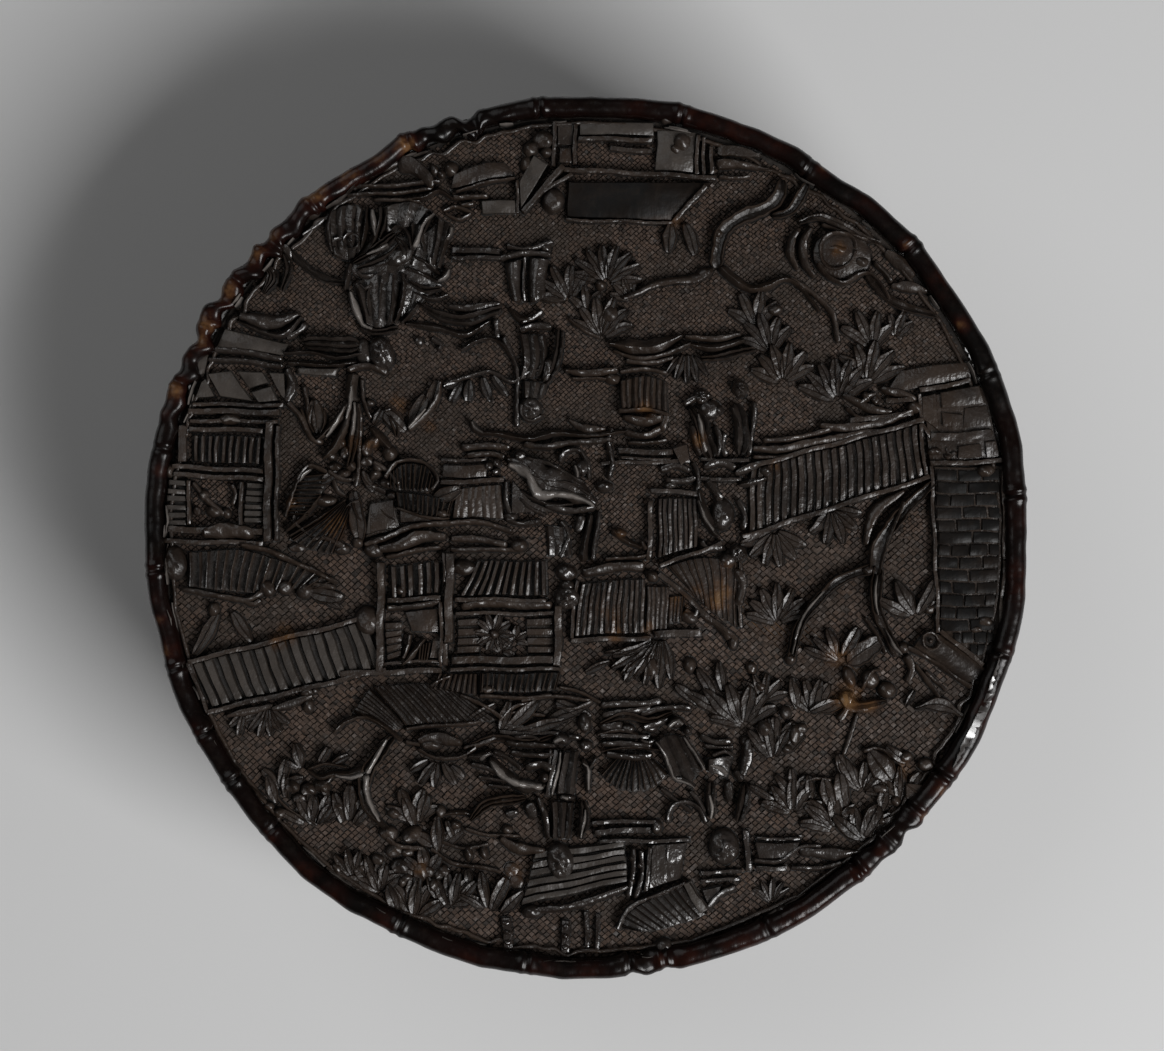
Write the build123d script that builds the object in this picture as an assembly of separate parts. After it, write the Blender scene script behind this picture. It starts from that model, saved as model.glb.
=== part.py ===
"""Round carved tortoiseshell box with a lift-off lid.

The base is a bent wall standing on a bottom plate, with a collar cemented inside it.
The lid is a second bent wall that drops over the collar and carries the carved plate.
Bamboo-shaped edgings cover both outer corners and both sides of the mouth.
A garden scene stands up from the lid's plate, and a frieze of four like gardens from the base's wall.
Origin: centre of the base, on the table. +Z is up, +X and +Y lie in the lid's picture.
"""

import math
import os

from build123d import *

# Overall sizes, in millimetres
box_diameter = 88.0  # across the bamboo canes at the lid's edge
base_height = 18.0  # table to the mouth, where the lid meets the base
lid_height = 12.0  # mouth to the top of the lid's bamboo edge

# Walls, plates and collar
wall_thickness = 2.4  # bent strip of the base, and of the lid but for its clearance
collar_thickness = 1.4
collar_headroom = 3.2  # collar's top to the plate inside the lid
collar_lip_round = 0.4
lid_mouth_chamfer = 0.3
lid_clearance = 0.15  # radial, between the lid's wall and the collar it slides on
glue_line = 0.05  # radial, between cemented round faces
edging_seat = 0.6  # width of the walls' ends that the corner edgings sit on; the end plates lap the rest
carved_plate_thickness = 1.0  # at the cut-back ground between the carvings
backing_plate_thickness = 0.9
base_plate_recess = 0.6  # bottom plate above the table

# Raised line that frames the carving
border_inset = 0.1  # plate's edge to the line
border_width = 0.5
border_rise = 0.6

# Carved picture inside that line, blocked out in levels above the ground
picture_margin = 0.15  # line to the carving
picture_drawn_r = 41.0  # places in the picture are in mm from its middle, on a picture of this radius
board_rise = 0.7  # floors, slats, bricks and screens
leaf_rise = 0.9  # leaf sprays
beam_rise = 1.0  # posts, rails, roofs, trunks, waves and rocks
robe_rise = 1.25  # figures
head_rise = 1.5
head_round = 0.6
leaf_width = 1.1
leaf_bulge = 0.6  # share of a leaf's length from its root to its widest place
leaf_step = 38.0  # degrees from one leaf of a spray to the next
leaf_root_r = 0.66  # round knob that a spray's leaves grow from
relief_root = 0.4  # how deep every raised form is rooted in its plate or wall

# Carved frieze round the base, the same garden over and over
frieze_repeats = 4
frieze_drawn_length = 66.6  # places in it are in mm along one garden of this length
frieze_drawn_height = 13.6  # and in mm up a band of this height
frieze_board_rise = 0.45
frieze_soil_rise = 0.55
frieze_leaf_rise = 0.6
frieze_beam_rise = 0.7
frieze_soil = (0.4, 1.4)  # foot and top of the soil that all its forms stand in

# Bamboo edging on the lid's top corner and the base's bottom corner
cane_diameter = 3.2
cane_overhang = 1.6  # past the wall's face
cane_flat = 0.3  # depth of the flat that the cane sits on
knuckle_rise = 0.22
knuckle_length = 1.5
canes_per_edging = 20

# Thinner bamboo edging on each side of the mouth
mouth_cane_diameter = 1.8
mouth_cane_overhang = 1.0
mouth_cane_flat = 0.2
mouth_knuckle_rise = 0.15
mouth_knuckle_length = 1.1

# Radii that follow
edge_r = box_diameter / 2
wall_outer_r = edge_r - cane_overhang
wall_inner_r = wall_outer_r - wall_thickness
collar_outer_r = wall_inner_r - glue_line
collar_inner_r = collar_outer_r - collar_thickness
lid_inner_r = collar_outer_r + lid_clearance
edging_inner_r = wall_outer_r - edging_seat
plate_r = edging_inner_r - glue_line
border_outer_r = plate_r - border_inset
picture_r = border_outer_r - border_width - picture_margin
cane_r = cane_diameter / 2
cane_circle_r = edge_r - cane_r
mouth_cane_r = mouth_cane_diameter / 2
mouth_cane_circle_r = wall_outer_r + mouth_cane_overhang - mouth_cane_r
mouth_edging_inner_r = wall_outer_r + glue_line

# Heights that follow
mouth_z = base_height
box_height = base_height + lid_height
cane_seat = cane_r - cane_flat  # cane's centre to the flat it sits on
foot_cane_z = cane_seat
base_wall_bottom = foot_cane_z + cane_seat
lid_cane_z = box_height - cane_r
lid_wall_top = lid_cane_z - cane_seat
ground_z = lid_wall_top + carved_plate_thickness
backing_bottom = lid_wall_top - backing_plate_thickness
collar_top = backing_bottom - collar_headroom
mouth_cane_seat = mouth_cane_r - mouth_cane_flat
frieze_low = base_wall_bottom
frieze_high = mouth_z - mouth_cane_diameter

# Drawn sizes to real ones
picture_scale = picture_r / picture_drawn_r
frieze_scale = (frieze_high - frieze_low) / frieze_drawn_height
frieze_turn = 360.0 / frieze_repeats


def block(r_from, r_to, z_from, z_to):
    """Rectangle of the half section, from one radius and height to another."""
    middle = Pos((r_from + r_to) / 2, (z_from + z_to) / 2)
    return Plane.XZ * middle * Rectangle(r_to - r_from, z_to - z_from)


def turned(section, degrees=360.0):
    """Half section carried round the box's axis."""
    return revolve(section, Axis.Z, degrees)


def disc(r, z_from, z_to):
    """Flat round plate between two heights."""
    return Pos(0, 0, z_from) * extrude(Circle(r), z_to - z_from)


def edges_at(shape, r, z):
    """Circular edges of the shape that lie at this radius and height."""
    near = 1e-3
    circles = shape.edges().filter_by(GeomType.CIRCLE)
    return [e for e in circles if abs(e.radius - r) < near and abs(e.arc_center.Z - z) < near]


def bamboo_edging(section, r, knuckle_r, circle_r, knuckle_span):
    """Ring of bamboo canes: a round bead, with a swollen knuckle at each joint of two canes.

    section(r) is the bead's half section for a cane of that radius, with its flats.
    """
    turn = math.degrees(knuckle_span / circle_r)
    pitch = 360.0 / canes_per_edging
    knuckle = Rot(0, 0, -turn / 2) * turned(section(knuckle_r), turn)
    knuckles = [Rot(0, 0, pitch * i) * knuckle for i in range(canes_per_edging)]
    return turned(section(r)) + knuckles


def corner_section(centre_z, flat_low, flat_high, seat_z):
    """Cane on an outer corner of the box, flat below, above and against the plate beside it.

    A block fills the corner between the cane, the plate's edge and the end of the wall at seat_z.
    """
    reach = edge_r + cane_diameter
    room = block(edging_inner_r, reach, flat_low, flat_high)
    corner = block(edging_inner_r, cane_circle_r, min(centre_z, seat_z), max(centre_z, seat_z))

    def section(r):
        return (Plane.XZ * Pos(cane_circle_r, centre_z) * Circle(r) + corner) & room

    return section


def mouth_section(centre_z, flat_low, flat_high):
    """Thin cane along the mouth, flat against the wall and at the mouth."""
    room = block(mouth_edging_inner_r, edge_r + cane_diameter, flat_low, flat_high)

    def section(r):
        return Plane.XZ * Pos(mouth_cane_circle_r, centre_z) * Circle(r) & room

    return section


def area(*corners):
    """Flat form with straight sides."""
    return Polygon(*corners)


def strip(width, *path):
    """Band of this width along a path, mitred where the path bends."""
    points = [Vector(*p) for p in path]
    ways = [(b - a).normalized() for a, b in zip(points, points[1:])]
    left, right = [], []
    for point, before, after in zip(points, ways[:1] + ways, ways + ways[-1:]):
        mitre = (before + after).normalized()
        out = Vector(-mitre.Y, mitre.X) * (width / 2 / mitre.dot(after))
        left.append(point + out)
        right.append(point - out)
    return Polygon(*left, *reversed(right))


def boss(centre, r):
    """Round form."""
    return Pos(*centre) * Circle(r)


def spray(root, facing, spread, length):
    """Fan of pointed leaves about a root, its middle facing this way in degrees."""
    gaps = max(1, round(spread / leaf_step))
    wide = Vector(length * leaf_bulge, leaf_width / 2)
    blade = Polygon((0, 0), wide, (length, 0), (wide.X, -wide.Y))
    turns = [facing + spread * (k / gaps - 0.5) for k in range(gaps + 1)]
    return boss(root, leaf_root_r) + [Pos(*root) * Rot(0, 0, t) * blade for t in turns]


# The picture on the lid, from the top edge down; boards, leaves, beams and robes are its levels
terrace = dict(
    boards=[area((-1.7, 35.7), (12.7, 35.6), (9.0, 31.7), (-1.7, 32.1)),
            area((7.3, 40.8), (11.2, 40.6), (11.0, 36.6), (7.2, 36.7)),
            area((-6.5, 35.7), (-5.0, 38.3), (-3.5, 37.4), (-6.4, 32.9)),
            area((-3.0, 41.6), (7.0, 41.6), (7.0, 40.2), (-3.0, 40.2))],
    beams=[strip(0.6, (-2.1, 36.9), (13.2, 36.0)), strip(0.6, (12.2, 35.3), (9.0, 31.5), (-1.8, 31.8)),
           strip(0.7, (-2.0, 37.3), (-6.2, 32.6)), strip(0.6, (-0.6, 39.9), (6.8, 39.8)),
           strip(1.0, (11.5, 40.2), (11.5, 36.4)), strip(1.2, (13.4, 37.4), (17.4, 37.0))],
    robes=[boss((-4.1, 39.6), 1.3), boss((-3.1, 33.7), 1.2), boss((9.8, 39.6), 1.0)],
)
upper_left_rocks = dict(
    boards=[strip(1.4, (-23.9, 34.5), (-14.6, 35.3)), strip(1.4, (-13.2, 28.4), (-8.3, 28.2))],
    beams=[strip(1.6, (-18.8, 37.7), (-17.2, 37.2), (-15.3, 34.9)),
           area((-13.2, 36.5), (-8.1, 37.7), (-7.0, 36.7), (-6.9, 36.0), (-13.4, 35.0)),
           strip(0.6, (-12.9, 34.7), (-6.8, 36.1)), boss((-30.9, 26.4), 1.4),
           strip(0.8, (-29.6, 28.9), (-23.8, 25.4))],
)
robed_figure = dict(
    robes=[area((-25.5, 32.5), (-23.9, 33.4), (-22.2, 33.0), (-22.1, 28.9), (-23.7, 27.8),
                (-25.2, 28.7)),
           area((-19.7, 33.0), (-17.4, 33.8), (-14.7, 32.4), (-13.3, 31.3), (-14.4, 26.9), (-17.7, 27.8),
                (-19.1, 28.7)),
           area((-22.6, 26.9), (-19.9, 28.0), (-17.2, 26.9), (-18.1, 21.7), (-19.6, 21.1), (-22.2, 21.4),
                (-23.7, 25.0)),
           strip(1.6, (-29.6, 19.3), (-22.6, 19.2)),
           strip(1.6, (-34.8, 21.7), (-31.4, 20.9), (-28.2, 22.1))],
    beams=[strip(0.9, (-20.9, 33.3), (-21.8, 29.7)), strip(1.2, (-37.2, 18.4), (-30.1, 17.4)),
           strip(1.2, (-23.4, 27.3), (-19.2, 29.4)), strip(1.6, (-18.0, 26.4), (-13.6, 26.4))],
    heads=[((-20.3, 18.4), 1.5)],
)
left_pavilion = dict(
    boards=[area((-39.8, 13.4), (-30.2, 13.4), (-30.5, -0.6), (-42.1, -0.6), (-41.4, 7.1), (-40.4, 7.5)),
            area((-39.2, 18.0), (-36.1, 20.6), (-29.6, 19.2), (-29.9, 13.6), (-39.0, 14.1))],
    beams=[strip(1.2, (-39.8, 12.9), (-30.4, 12.7)), strip(1.0, (-39.6, 11.3), (-31.4, 11.1)),
           strip(1.3, (-41.4, 6.6), (-32.2, 6.2)), strip(1.8, (-41.9, 0.5), (-31.2, 0.0)),
           strip(1.3, (-31.4, 12.6), (-31.4, -0.4)), strip(0.6, (-34.4, 6.3), (-34.4, 0.4)),
           area((-39.8, -1.5), (-34.4, -1.3), (-30.9, -2.1), (-27.4, -3.5), (-24.9, -4.5), (-26.6, -5.1),
                (-30.8, -5.3),
                (-33.4, -5.9), (-39.8, -5.1)),
           strip(1.2, (-27.6, -5.6), (-24.0, -5.9)), boss((-39.9, -2.8), 1.0)],
    leaves=[spray((-36.0, -7.0), -92, 76, 4.2)],
)
left_fence = dict(
    boards=[area((-39.4, -12.7), (-21.6, -8.4), (-20.0, -12.9), (-37.6, -17.0))],
    beams=[strip(0.6, (-39.7, -12.5), (-21.4, -8.0)), strip(0.6, (-37.8, -17.5), (-19.8, -13.2)),
           boss((-21.6, -8.4), 1.4)],
    leaves=[spray((-31.8, -16.6), -92, 110, 2.8)],
)
left_tree = dict(
    beams=[strip(1.3, (-23.1, 16.5), (-23.5, 12.9)), strip(0.9, (-23.6, 13.5), (-26.8, 9.6)),
           strip(0.9, (-23.4, 13.3), (-24.6, 10.2), (-26.3, 7.8)),
           strip(1.1, (-23.1, 13.3), (-23.2, 10.0), (-23.7, 7.1)),
           strip(0.7, (-23.8, 16.7), (-19.7, 16.5)),
           strip(0.7, (-17.6, 10.6), (-15.4, 13.0), (-14.3, 15.7)),
           strip(1.1, (-21.5, 11.0), (-19.2, 8.6)), strip(0.6, (-29.9, 13.5), (-27.2, 9.7)),
           area((-19.6, 6.1), (-18.2, 7.4), (-16.0, 7.1), (-14.9, 5.6), (-15.3, 4.6), (-19.4, 5.1)),
           area((-18.8, 4.8), (-13.1, 3.6), (-13.8, 2.1), (-18.6, 3.1)),
           area((-28.4, 5.6), (-25.8, 6.6), (-25.7, 4.6), (-28.2, 3.7)),
           strip(1.4, (-23.7, 3.1), (-25.7, -0.9)),
           strip(0.6, (-26.3, 4.3), (-30.0, 0.5)), strip(1.2, (-22.6, 4.6), (-22.6, -0.6))],
    leaves=[spray((-26.6, 10.2), 100, 38, 3.6), spray((-17.6, 10.8), 100, 76, 3.4)],
)
middle_figure = dict(
    robes=[area((-7.9, 27.5), (-3.5, 27.8), (-3.9, 23.7), (-7.2, 23.5)),
           area((-6.5, 20.5), (-2.3, 20.8), (-3.5, 15.3), (-4.1, 13.8), (-6.0, 13.9), (-6.6, 15.8)),
           strip(1.0, (-8.5, 28.2), (-3.3, 28.3))],
    beams=[strip(1.7, (-16.7, 23.2), (-12.9, 22.2), (-8.3, 23.0)),
           strip(0.8, (-17.9, 21.5), (-13.0, 20.5), (-9.3, 21.6)),
           strip(0.6, (-14.1, 15.4), (-9.4, 16.5), (-4.3, 16.7)),
           strip(0.6, (-12.9, 19.2), (-9.4, 19.9), (-7.1, 17.8)),
           strip(0.6, (-8.1, 20.1), (-6.9, 11.1)), strip(0.8, (-7.6, 22.9), (-4.2, 22.4))],
    leaves=[spray((-11.0, 16.0), -92, 114, 2.7)],
    heads=[((-5.3, 12.8), 1.2)],
)
waves = dict(
    beams=[strip(1.8, (2.5, 19.4), (5.9, 19.0), (9.7, 19.9)), strip(1.8, (10.6, 19.3), (16.1, 19.7)),
           strip(1.0, (11.6, 17.9), (17.1, 18.8)), strip(1.1, (-1.9, 16.7), (3.3, 16.5)),
           area((3.6, 15.9), (8.4, 15.7), (8.4, 11.7), (7.6, 10.1), (4.0, 10.1), (3.6, 12.7)),
           strip(0.8, (-11.4, 11.6), (-8.4, 10.3), (-2.4, 10.4), (4.3, 10.6)),
           strip(0.8, (-6.1, 9.4), (3.0, 9.6)),
           strip(1.0, (-1.6, 11.8), (2.3, 10.7)), strip(0.6, (4.0, 17.2), (9.0, 17.4))],
    boards=[strip(1.6, (-12.4, 8.9), (-7.4, 8.5)), strip(1.5, (1.6, 8.1), (10.6, 8.1))],
)
reclining_figure = dict(
    robes=[area((-7.9, 8.4), (-5.2, 8.3), (-2.3, 7.2), (0.2, 5.4), (1.5, 3.6), (-1.0, 3.6), (-4.9, 4.1),
                (-6.9, 6.6)),
           boss((-1.8, -4.1), 1.1)],
    beams=[strip(1.6, (0.8, 2.6), (0.3, -2.4)), strip(0.8, (-3.9, 3.0), (1.4, 2.9)),
           strip(0.7, (2.3, 9.4), (2.5, 5.6)),
           boss((-0.2, 7.2), 1.0)],
    boards=[area((-7.2, 5.7), (-5.3, 3.5), (-2.8, 2.5), (-7.2, 2.2)),
            area((-12.8, 4.9), (-8.3, 5.2), (-7.9, 1.9), (-13.2, 1.9)),
            area((-14.2, 7.2), (-9.8, 7.3), (-9.8, 6.0), (-14.2, 6.0)),
            area((-3.9, 1.1), (-1.3, 1.1), (-1.2, -1.9), (-3.6, -1.9))],
    heads=[((-1.7, -6.1), 1.3)],
)
central_pavilion = dict(
    boards=[area((-20.5, -1.9), (-7.2, -0.8), (-3.6, -2.4), (-2.2, -6.7), (-2.2, -13.5),
                 (-20.5, -13.5))],
    beams=[strip(0.9, (-20.3, -2.3), (-20.4, -13.7)), strip(1.1, (-13.4, -1.3), (-13.6, -13.0)),
           strip(0.9, (-2.5, -6.9), (-2.6, -13.1)), strip(1.2, (-20.1, -6.7), (-14.1, -6.4)),
           strip(1.4, (-12.9, -6.7), (-2.8, -6.9)), strip(0.8, (-24.4, -13.7), (-14.2, -13.3)),
           strip(1.3, (-13.4, -12.7), (-2.3, -12.7)), strip(1.2, (-20.6, -1.2), (-13.7, 0.1)),
           strip(0.8, (-22.1, -0.9), (-17.4, 0.7), (-14.4, 1.3), (-10.4, 1.4), (-7.2, 0.6)),
           strip(1.2, (-13.4, -0.4), (-6.2, -1.2)), boss((-12.1, -3.0), 1.0), boss((-9.0, -9.7), 1.7),
           area((-23.2, -17.5), (-21.3, -15.2), (-18.4, -14.7), (-15.4, -14.8), (-12.8, -15.3),
                (-8.4, -18.4), (-12.4, -18.6),
                (-17.9, -18.8), (-19.3, -19.4)),
           area((-14.6, -13.6), (-2.2, -13.6), (-2.8, -15.4), (-15.4, -15.2)),
           strip(0.7, (-25.1, -19.6), (-22.1, -18.0), (-18.1, -20.4)),
           strip(1.5, (-16.9, -20.7), (-12.0, -20.7)),
           strip(0.6, (-17.9, -19.3), (-8.4, -18.5), (-3.0, -16.2))],
)
board_walls = dict(
    boards=[area((-0.3, -4.6), (8.5, -4.6), (8.4, -9.4), (-1.1, -9.9)),
            area((8.4, -3.0), (12.1, -2.0), (15.5, -2.6), (15.3, -9.2), (12.8, -7.4), (10.6, -5.5)),
            area((7.4, 3.8), (11.4, 3.9), (11.4, -0.9), (7.3, -2.1))],
    beams=[strip(1.0, (-0.3, -3.6), (6.6, -2.9)), strip(0.8, (-1.4, -10.3), (11.6, -9.7)),
           strip(0.6, (7.6, -2.9), (13.9, -0.6)), strip(0.6, (7.5, -3.6), (15.3, -10.4)),
           strip(0.8, (15.4, -2.6), (15.6, -9.2)),
           strip(0.6, (6.7, 4.4), (6.6, -2.2)), strip(0.6, (6.6, 4.6), (11.8, 4.3)),
           strip(0.8, (2.7, 0.7), (5.9, -1.0))],
    leaves=[spray((7.2, -10.4), -128, 90, 4.6)],
)
right_people = dict(
    robes=[strip(1.1, (11.5, 4.9), (12.0, 2.7), (13.6, 0.0)), boss((13.9, 2.2), 1.4),
           boss((12.4, 12.8), 1.2),
           strip(1.6, (10.8, 12.9), (11.7, 11.2), (12.7, 7.8)),
           strip(1.6, (15.2, 13.1), (15.9, 11.2), (15.6, 8.1))],
    beams=[strip(1.9, (11.6, 6.7), (18.3, 6.9)), strip(1.5, (7.6, 6.2), (11.2, 6.2)),
           boss((14.4, -2.3), 0.9),
           strip(0.6, (17.0, 13.6), (16.5, 8.0)), strip(0.8, (15.9, 3.8), (16.0, 0.9))],
    heads=[((15.5, -1.7), 1.0), ((15.6, 14.7), 0.9), ((11.4, 14.1), 0.9)],
)
right_fence = dict(
    boards=[area((16.5, 6.7), (33.4, 11.3), (34.0, 6.1), (16.3, 0.2))],
    beams=[strip(0.6, (16.1, 6.9), (33.9, 11.7)), strip(0.6, (15.8, 0.0), (34.5, 6.0)),
           strip(1.5, (16.8, 8.9), (20.6, 9.1), (29.8, 10.8)),
           strip(1.1, (23.4, 11.4), (27.6, 11.4), (33.5, 12.8)),
           strip(1.1, (25.8, 14.0), (28.4, 12.9), (33.2, 13.7))],
    leaves=[spray((19.0, 1.2), -92, 130, 3.4), spray((24.8, 2.9), -72, 120, 3.3)],
)
brick_wall = dict(
    boards=[area((35.0, 7.0), (41.9, 7.1), (41.6, -11.8), (39.9, -12.9), (35.6, -9.5)),
            area((31.6, 16.7), (38.5, 17.6), (40.8, 11.0), (41.7, 7.6), (34.7, 7.3), (33.7, 11.3),
                 (33.6, 14.3), (30.0, 14.3))],
    beams=[strip(0.6, (34.7, 7.2), (35.4, -9.4), (39.9, -12.9)), strip(0.9, (34.6, 10.0), (40.9, 10.3)),
           strip(0.6, (34.6, 7.4), (41.7, 7.6)),
           area((32.7, -11.1), (35.7, -9.7), (40.2, -13.1), (38.4, -14.9)),
           area((33.8, 14.0), (35.2, 14.4), (35.4, 10.5), (33.8, 11.7)),
           strip(1.3, (32.9, -17.0), (38.0, -17.7))],
)
right_tree = dict(
    beams=[strip(1.3, (35.0, 5.5), (31.1, 1.7), (29.2, -2.3), (28.9, -4.0)),
           strip(0.9, (32.1, 4.7), (28.6, 1.7), (28.2, -0.9)),
           strip(1.0, (29.0, -3.2), (25.4, -4.3), (22.2, -7.8), (20.6, -12.2)),
           strip(1.1, (29.3, -2.9), (29.4, -7.8), (31.4, -11.9))],
    leaves=[spray((33.2, -7.8), 96, 114, 3.9), spray((19.4, -8.6), 92, 152, 3.6),
            spray((25.4, -12.2), 110, 114, 3.4)],
)
upper_right_tree = dict(
    beams=[strip(1.5, (19.9, 35.9), (17.9, 32.8), (13.9, 30.7), (13.3, 26.9)),
           strip(1.1, (22.4, 35.2), (18.9, 32.2)),
           strip(0.9, (13.6, 27.1), (16.7, 24.9), (21.3, 25.5), (25.4, 19.5)),
           strip(0.8, (13.0, 26.9), (9.1, 25.7), (3.7, 23.9)),
           boss((25.8, 28.2), 2.8), strip(1.8, (22.0, 31.0), (21.4, 28.6), (22.4, 26.4)),
           strip(0.9, (21.5, 31.4), (26.2, 31.3), (29.8, 29.4)),
           strip(0.9, (28.2, 26.3), (30.8, 23.7), (35.4, 22.0)),
           strip(1.3, (30.1, 28.7), (33.1, 25.9)), strip(1.1, (30.6, 25.0), (34.2, 24.6))],
    leaves=[spray((2.2, 25.4), 85, 152, 3.8), spray((-1.6, 23.8), 115, 114, 3.4),
            spray((1.7, 20.0), 85, 130, 3.8),
            spray((9.2, 31.4), -86, 38, 3.2)],
)
right_leaves = dict(
    leaves=[spray((17.3, 20.9), 100, 96, 3.6), spray((18.7, 18.6), 105, 110, 3.6),
            spray((19.9, 15.4), 92, 130, 3.8),
            spray((25.4, 13.8), 95, 130, 4.0), spray((28.4, 15.3), 80, 110, 4.0),
            spray((28.8, 18.8), 95, 96, 3.8),
            spray((17.8, -16.4), 92, 150, 2.8), spray((22.0, -17.6), 90, 76, 3.5),
            spray((15.6, -18.5), 118, 80, 4.6),
            spray((13.3, -16.0), 115, 76, 3.4), spray((18.8, -22.0), 95, 76, 3.8),
            spray((21.1, -26.4), 112, 76, 3.0),
            spray((31.2, -25.0), 110, 76, 4.0), spray((25.3, -27.7), 110, 76, 3.7),
            spray((27.6, -29.8), 90, 120, 3.8),
            spray((27.3, -24.9), 120, 60, 3.3)],
    beams=[strip(1.4, (25.8, -15.2), (27.0, -16.9), (30.3, -16.5)), boss((28.6, -14.3), 1.0),
           boss((30.2, -15.3), 0.9),
           area((32.1, -24.6), (35.1, -24.9), (34.4, -26.9), (32.1, -26.1)), boss((20.3, -20.0), 1.0),
           boss((28.4, -32.0), 0.9)],
)
lower_left_leaves = dict(
    beams=[strip(1.2, (-19.0, -19.9), (-21.6, -23.1), (-21.8, -26.8), (-19.7, -29.2)),
           strip(0.8, (-21.9, -23.2), (-24.9, -23.7), (-27.7, -23.2)),
           strip(1.1, (-8.4, -30.1), (-3.9, -31.2)),
           boss((-19.5, -29.6), 1.0), boss((-17.2, -29.7), 0.9), boss((-33.0, -22.6), 0.9),
           boss((-16.2, -33.2), 1.0)],
    leaves=[spray((-30.8, -26.4), 108, 76, 3.0), spray((-27.2, -28.8), 100, 100, 3.2),
            spray((-23.6, -28.5), 85, 90, 3.5),
            spray((-16.8, -28.8), 90, 60, 3.2), spray((-17.2, -36.9), 85, 100, 3.8),
            spray((-13.4, -36.7), 85, 100, 3.3),
            spray((-9.2, -37.3), 80, 110, 3.8), spray((-22.8, -33.6), 100, 150, 3.0),
            spray((-20.5, -35.2), 95, 110, 2.8),
            spray((-15.9, -34.4), 95, 140, 3.0), spray((-14.6, -31.6), 92, 38, 3.4),
            spray((-14.4, -22.2), -98, 110, 2.8)],
)
lower_people = dict(
    robes=[strip(1.2, (-9.5, -22.0), (-8.2, -23.8), (-6.3, -24.9), (-3.7, -24.9)),
           area((-2.8, -21.3), (-0.5, -21.3), (-0.9, -25.7), (-3.4, -26.0)),
           area((-3.4, -26.4), (0.2, -26.2), (-0.4, -30.2), (-3.6, -30.2))],
    beams=[strip(1.8, (-7.9, -20.7), (-2.7, -21.3)), strip(1.0, (-11.7, -21.8), (-9.2, -21.4)),
           boss((0.1, -18.6), 1.0),
           strip(1.1, (-5.5, -26.4), (-5.1, -28.4)), strip(0.9, (-6.0, -23.2), (-3.2, -23.4))],
    heads=[((-2.4, -32.4), 1.6)],
)
stairs = dict(
    boards=[area((-4.8, -31.6), (4.0, -30.6), (4.3, -34.5), (-6.3, -36.9)),
            area((0.8, -28.3), (7.1, -28.2), (10.6, -30.5), (1.6, -30.5))],
    beams=[area((6.7, -30.7), (10.3, -30.6), (9.6, -34.1), (6.2, -35.2)),
           area((3.6, -39.1), (4.4, -37.6), (5.6, -36.7), (7.8, -35.7), (10.1, -34.8), (12.4, -37.5),
                (10.6, -38.3), (5.6, -39.4)),
           strip(0.8, (-5.9, -37.5), (4.5, -34.9)), strip(1.0, (-7.7, -38.0), (-7.6, -41.2)),
           strip(1.0, (-1.9, -38.3), (-1.8, -41.6)), strip(1.3, (5.3, -31.0), (4.7, -35.7))],
)
lower_figure = dict(
    robes=[area((7.3, -20.5), (10.2, -20.1), (11.9, -23.1), (10.4, -24.6), (9.0, -24.1)),
           boss((9.2, -18.7), 0.9),
           area((12.2, -22.1), (14.9, -21.9), (14.4, -24.2), (12.4, -23.6)),
           area((12.1, -24.4), (17.1, -24.6), (16.1, -28.5), (12.4, -28.1)),
           strip(1.1, (16.2, -20.1), (15.8, -23.9))],
    beams=[area((1.6, -16.3), (8.1, -16.0), (6.8, -19.4), (1.6, -19.6)),
           area((1.6, -20.4), (6.7, -20.6), (6.7, -22.2), (1.9, -22.2)),
           strip(0.7, (8.3, -28.4), (9.2, -26.6), (10.8, -26.6), (11.9, -28.4)),
           strip(0.6, (16.4, -29.3), (16.4, -33.4)), strip(1.2, (21.5, -31.5), (27.0, -31.4)),
           boss((7.9, -40.0), 0.9)],
    boards=[area((17.1, -30.5), (21.6, -30.5), (21.1, -32.0), (17.4, -32.1))],
    leaves=[spray((5.0, -21.6), -90, 152, 3.7)],
    heads=[((14.0, -30.9), 1.7)],
)
picture = (terrace, upper_left_rocks, robed_figure, left_pavilion, left_fence, left_tree, middle_figure,
           waves,
           reclining_figure, central_pavilion, board_walls, right_people, right_fence, brick_wall,
           right_tree,
           upper_right_tree, right_leaves, lower_left_leaves, lower_people, stairs, lower_figure)

# One garden of the frieze: a pavilion between two trees, two fences, a rock and a visitor
frieze_pavilion = dict(
    boards=[area((19.0, 4.2), (28.4, 4.2), (28.4, 1.2), (19.0, 1.2))],
    beams=[area((19.2, 11.2), (23.6, 12.0), (28.0, 11.2), (30.0, 9.4), (17.2, 9.4)),
           strip(0.7, (18.6, 9.6), (18.6, 1.2)),
           strip(0.7, (28.6, 9.6), (28.6, 1.2)), strip(0.6, (23.6, 9.6), (23.6, 1.2)),
           strip(0.6, (18.2, 8.0), (29.0, 8.0)),
           strip(0.6, (18.2, 4.4), (29.0, 4.4))],
)
short_fence = dict(
    boards=[area((9.0, 5.2), (17.6, 5.2), (17.6, 1.2), (9.0, 1.2))],
    beams=[strip(0.6, (8.8, 5.2), (17.6, 5.2))],
    leaves=[spray((12.0, 5.4), 90, 120, 2.6), spray((15.2, 5.4), 80, 120, 2.2)],
)
long_fence = dict(
    boards=[area((54.0, 5.4), (65.6, 5.4), (65.6, 1.2), (54.0, 1.2))],
    beams=[strip(0.6, (53.8, 5.4), (65.8, 5.4))],
    leaves=[spray((58.0, 5.4), 95, 150, 3.0), spray((62.4, 5.4), 85, 120, 2.6)],
)
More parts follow.
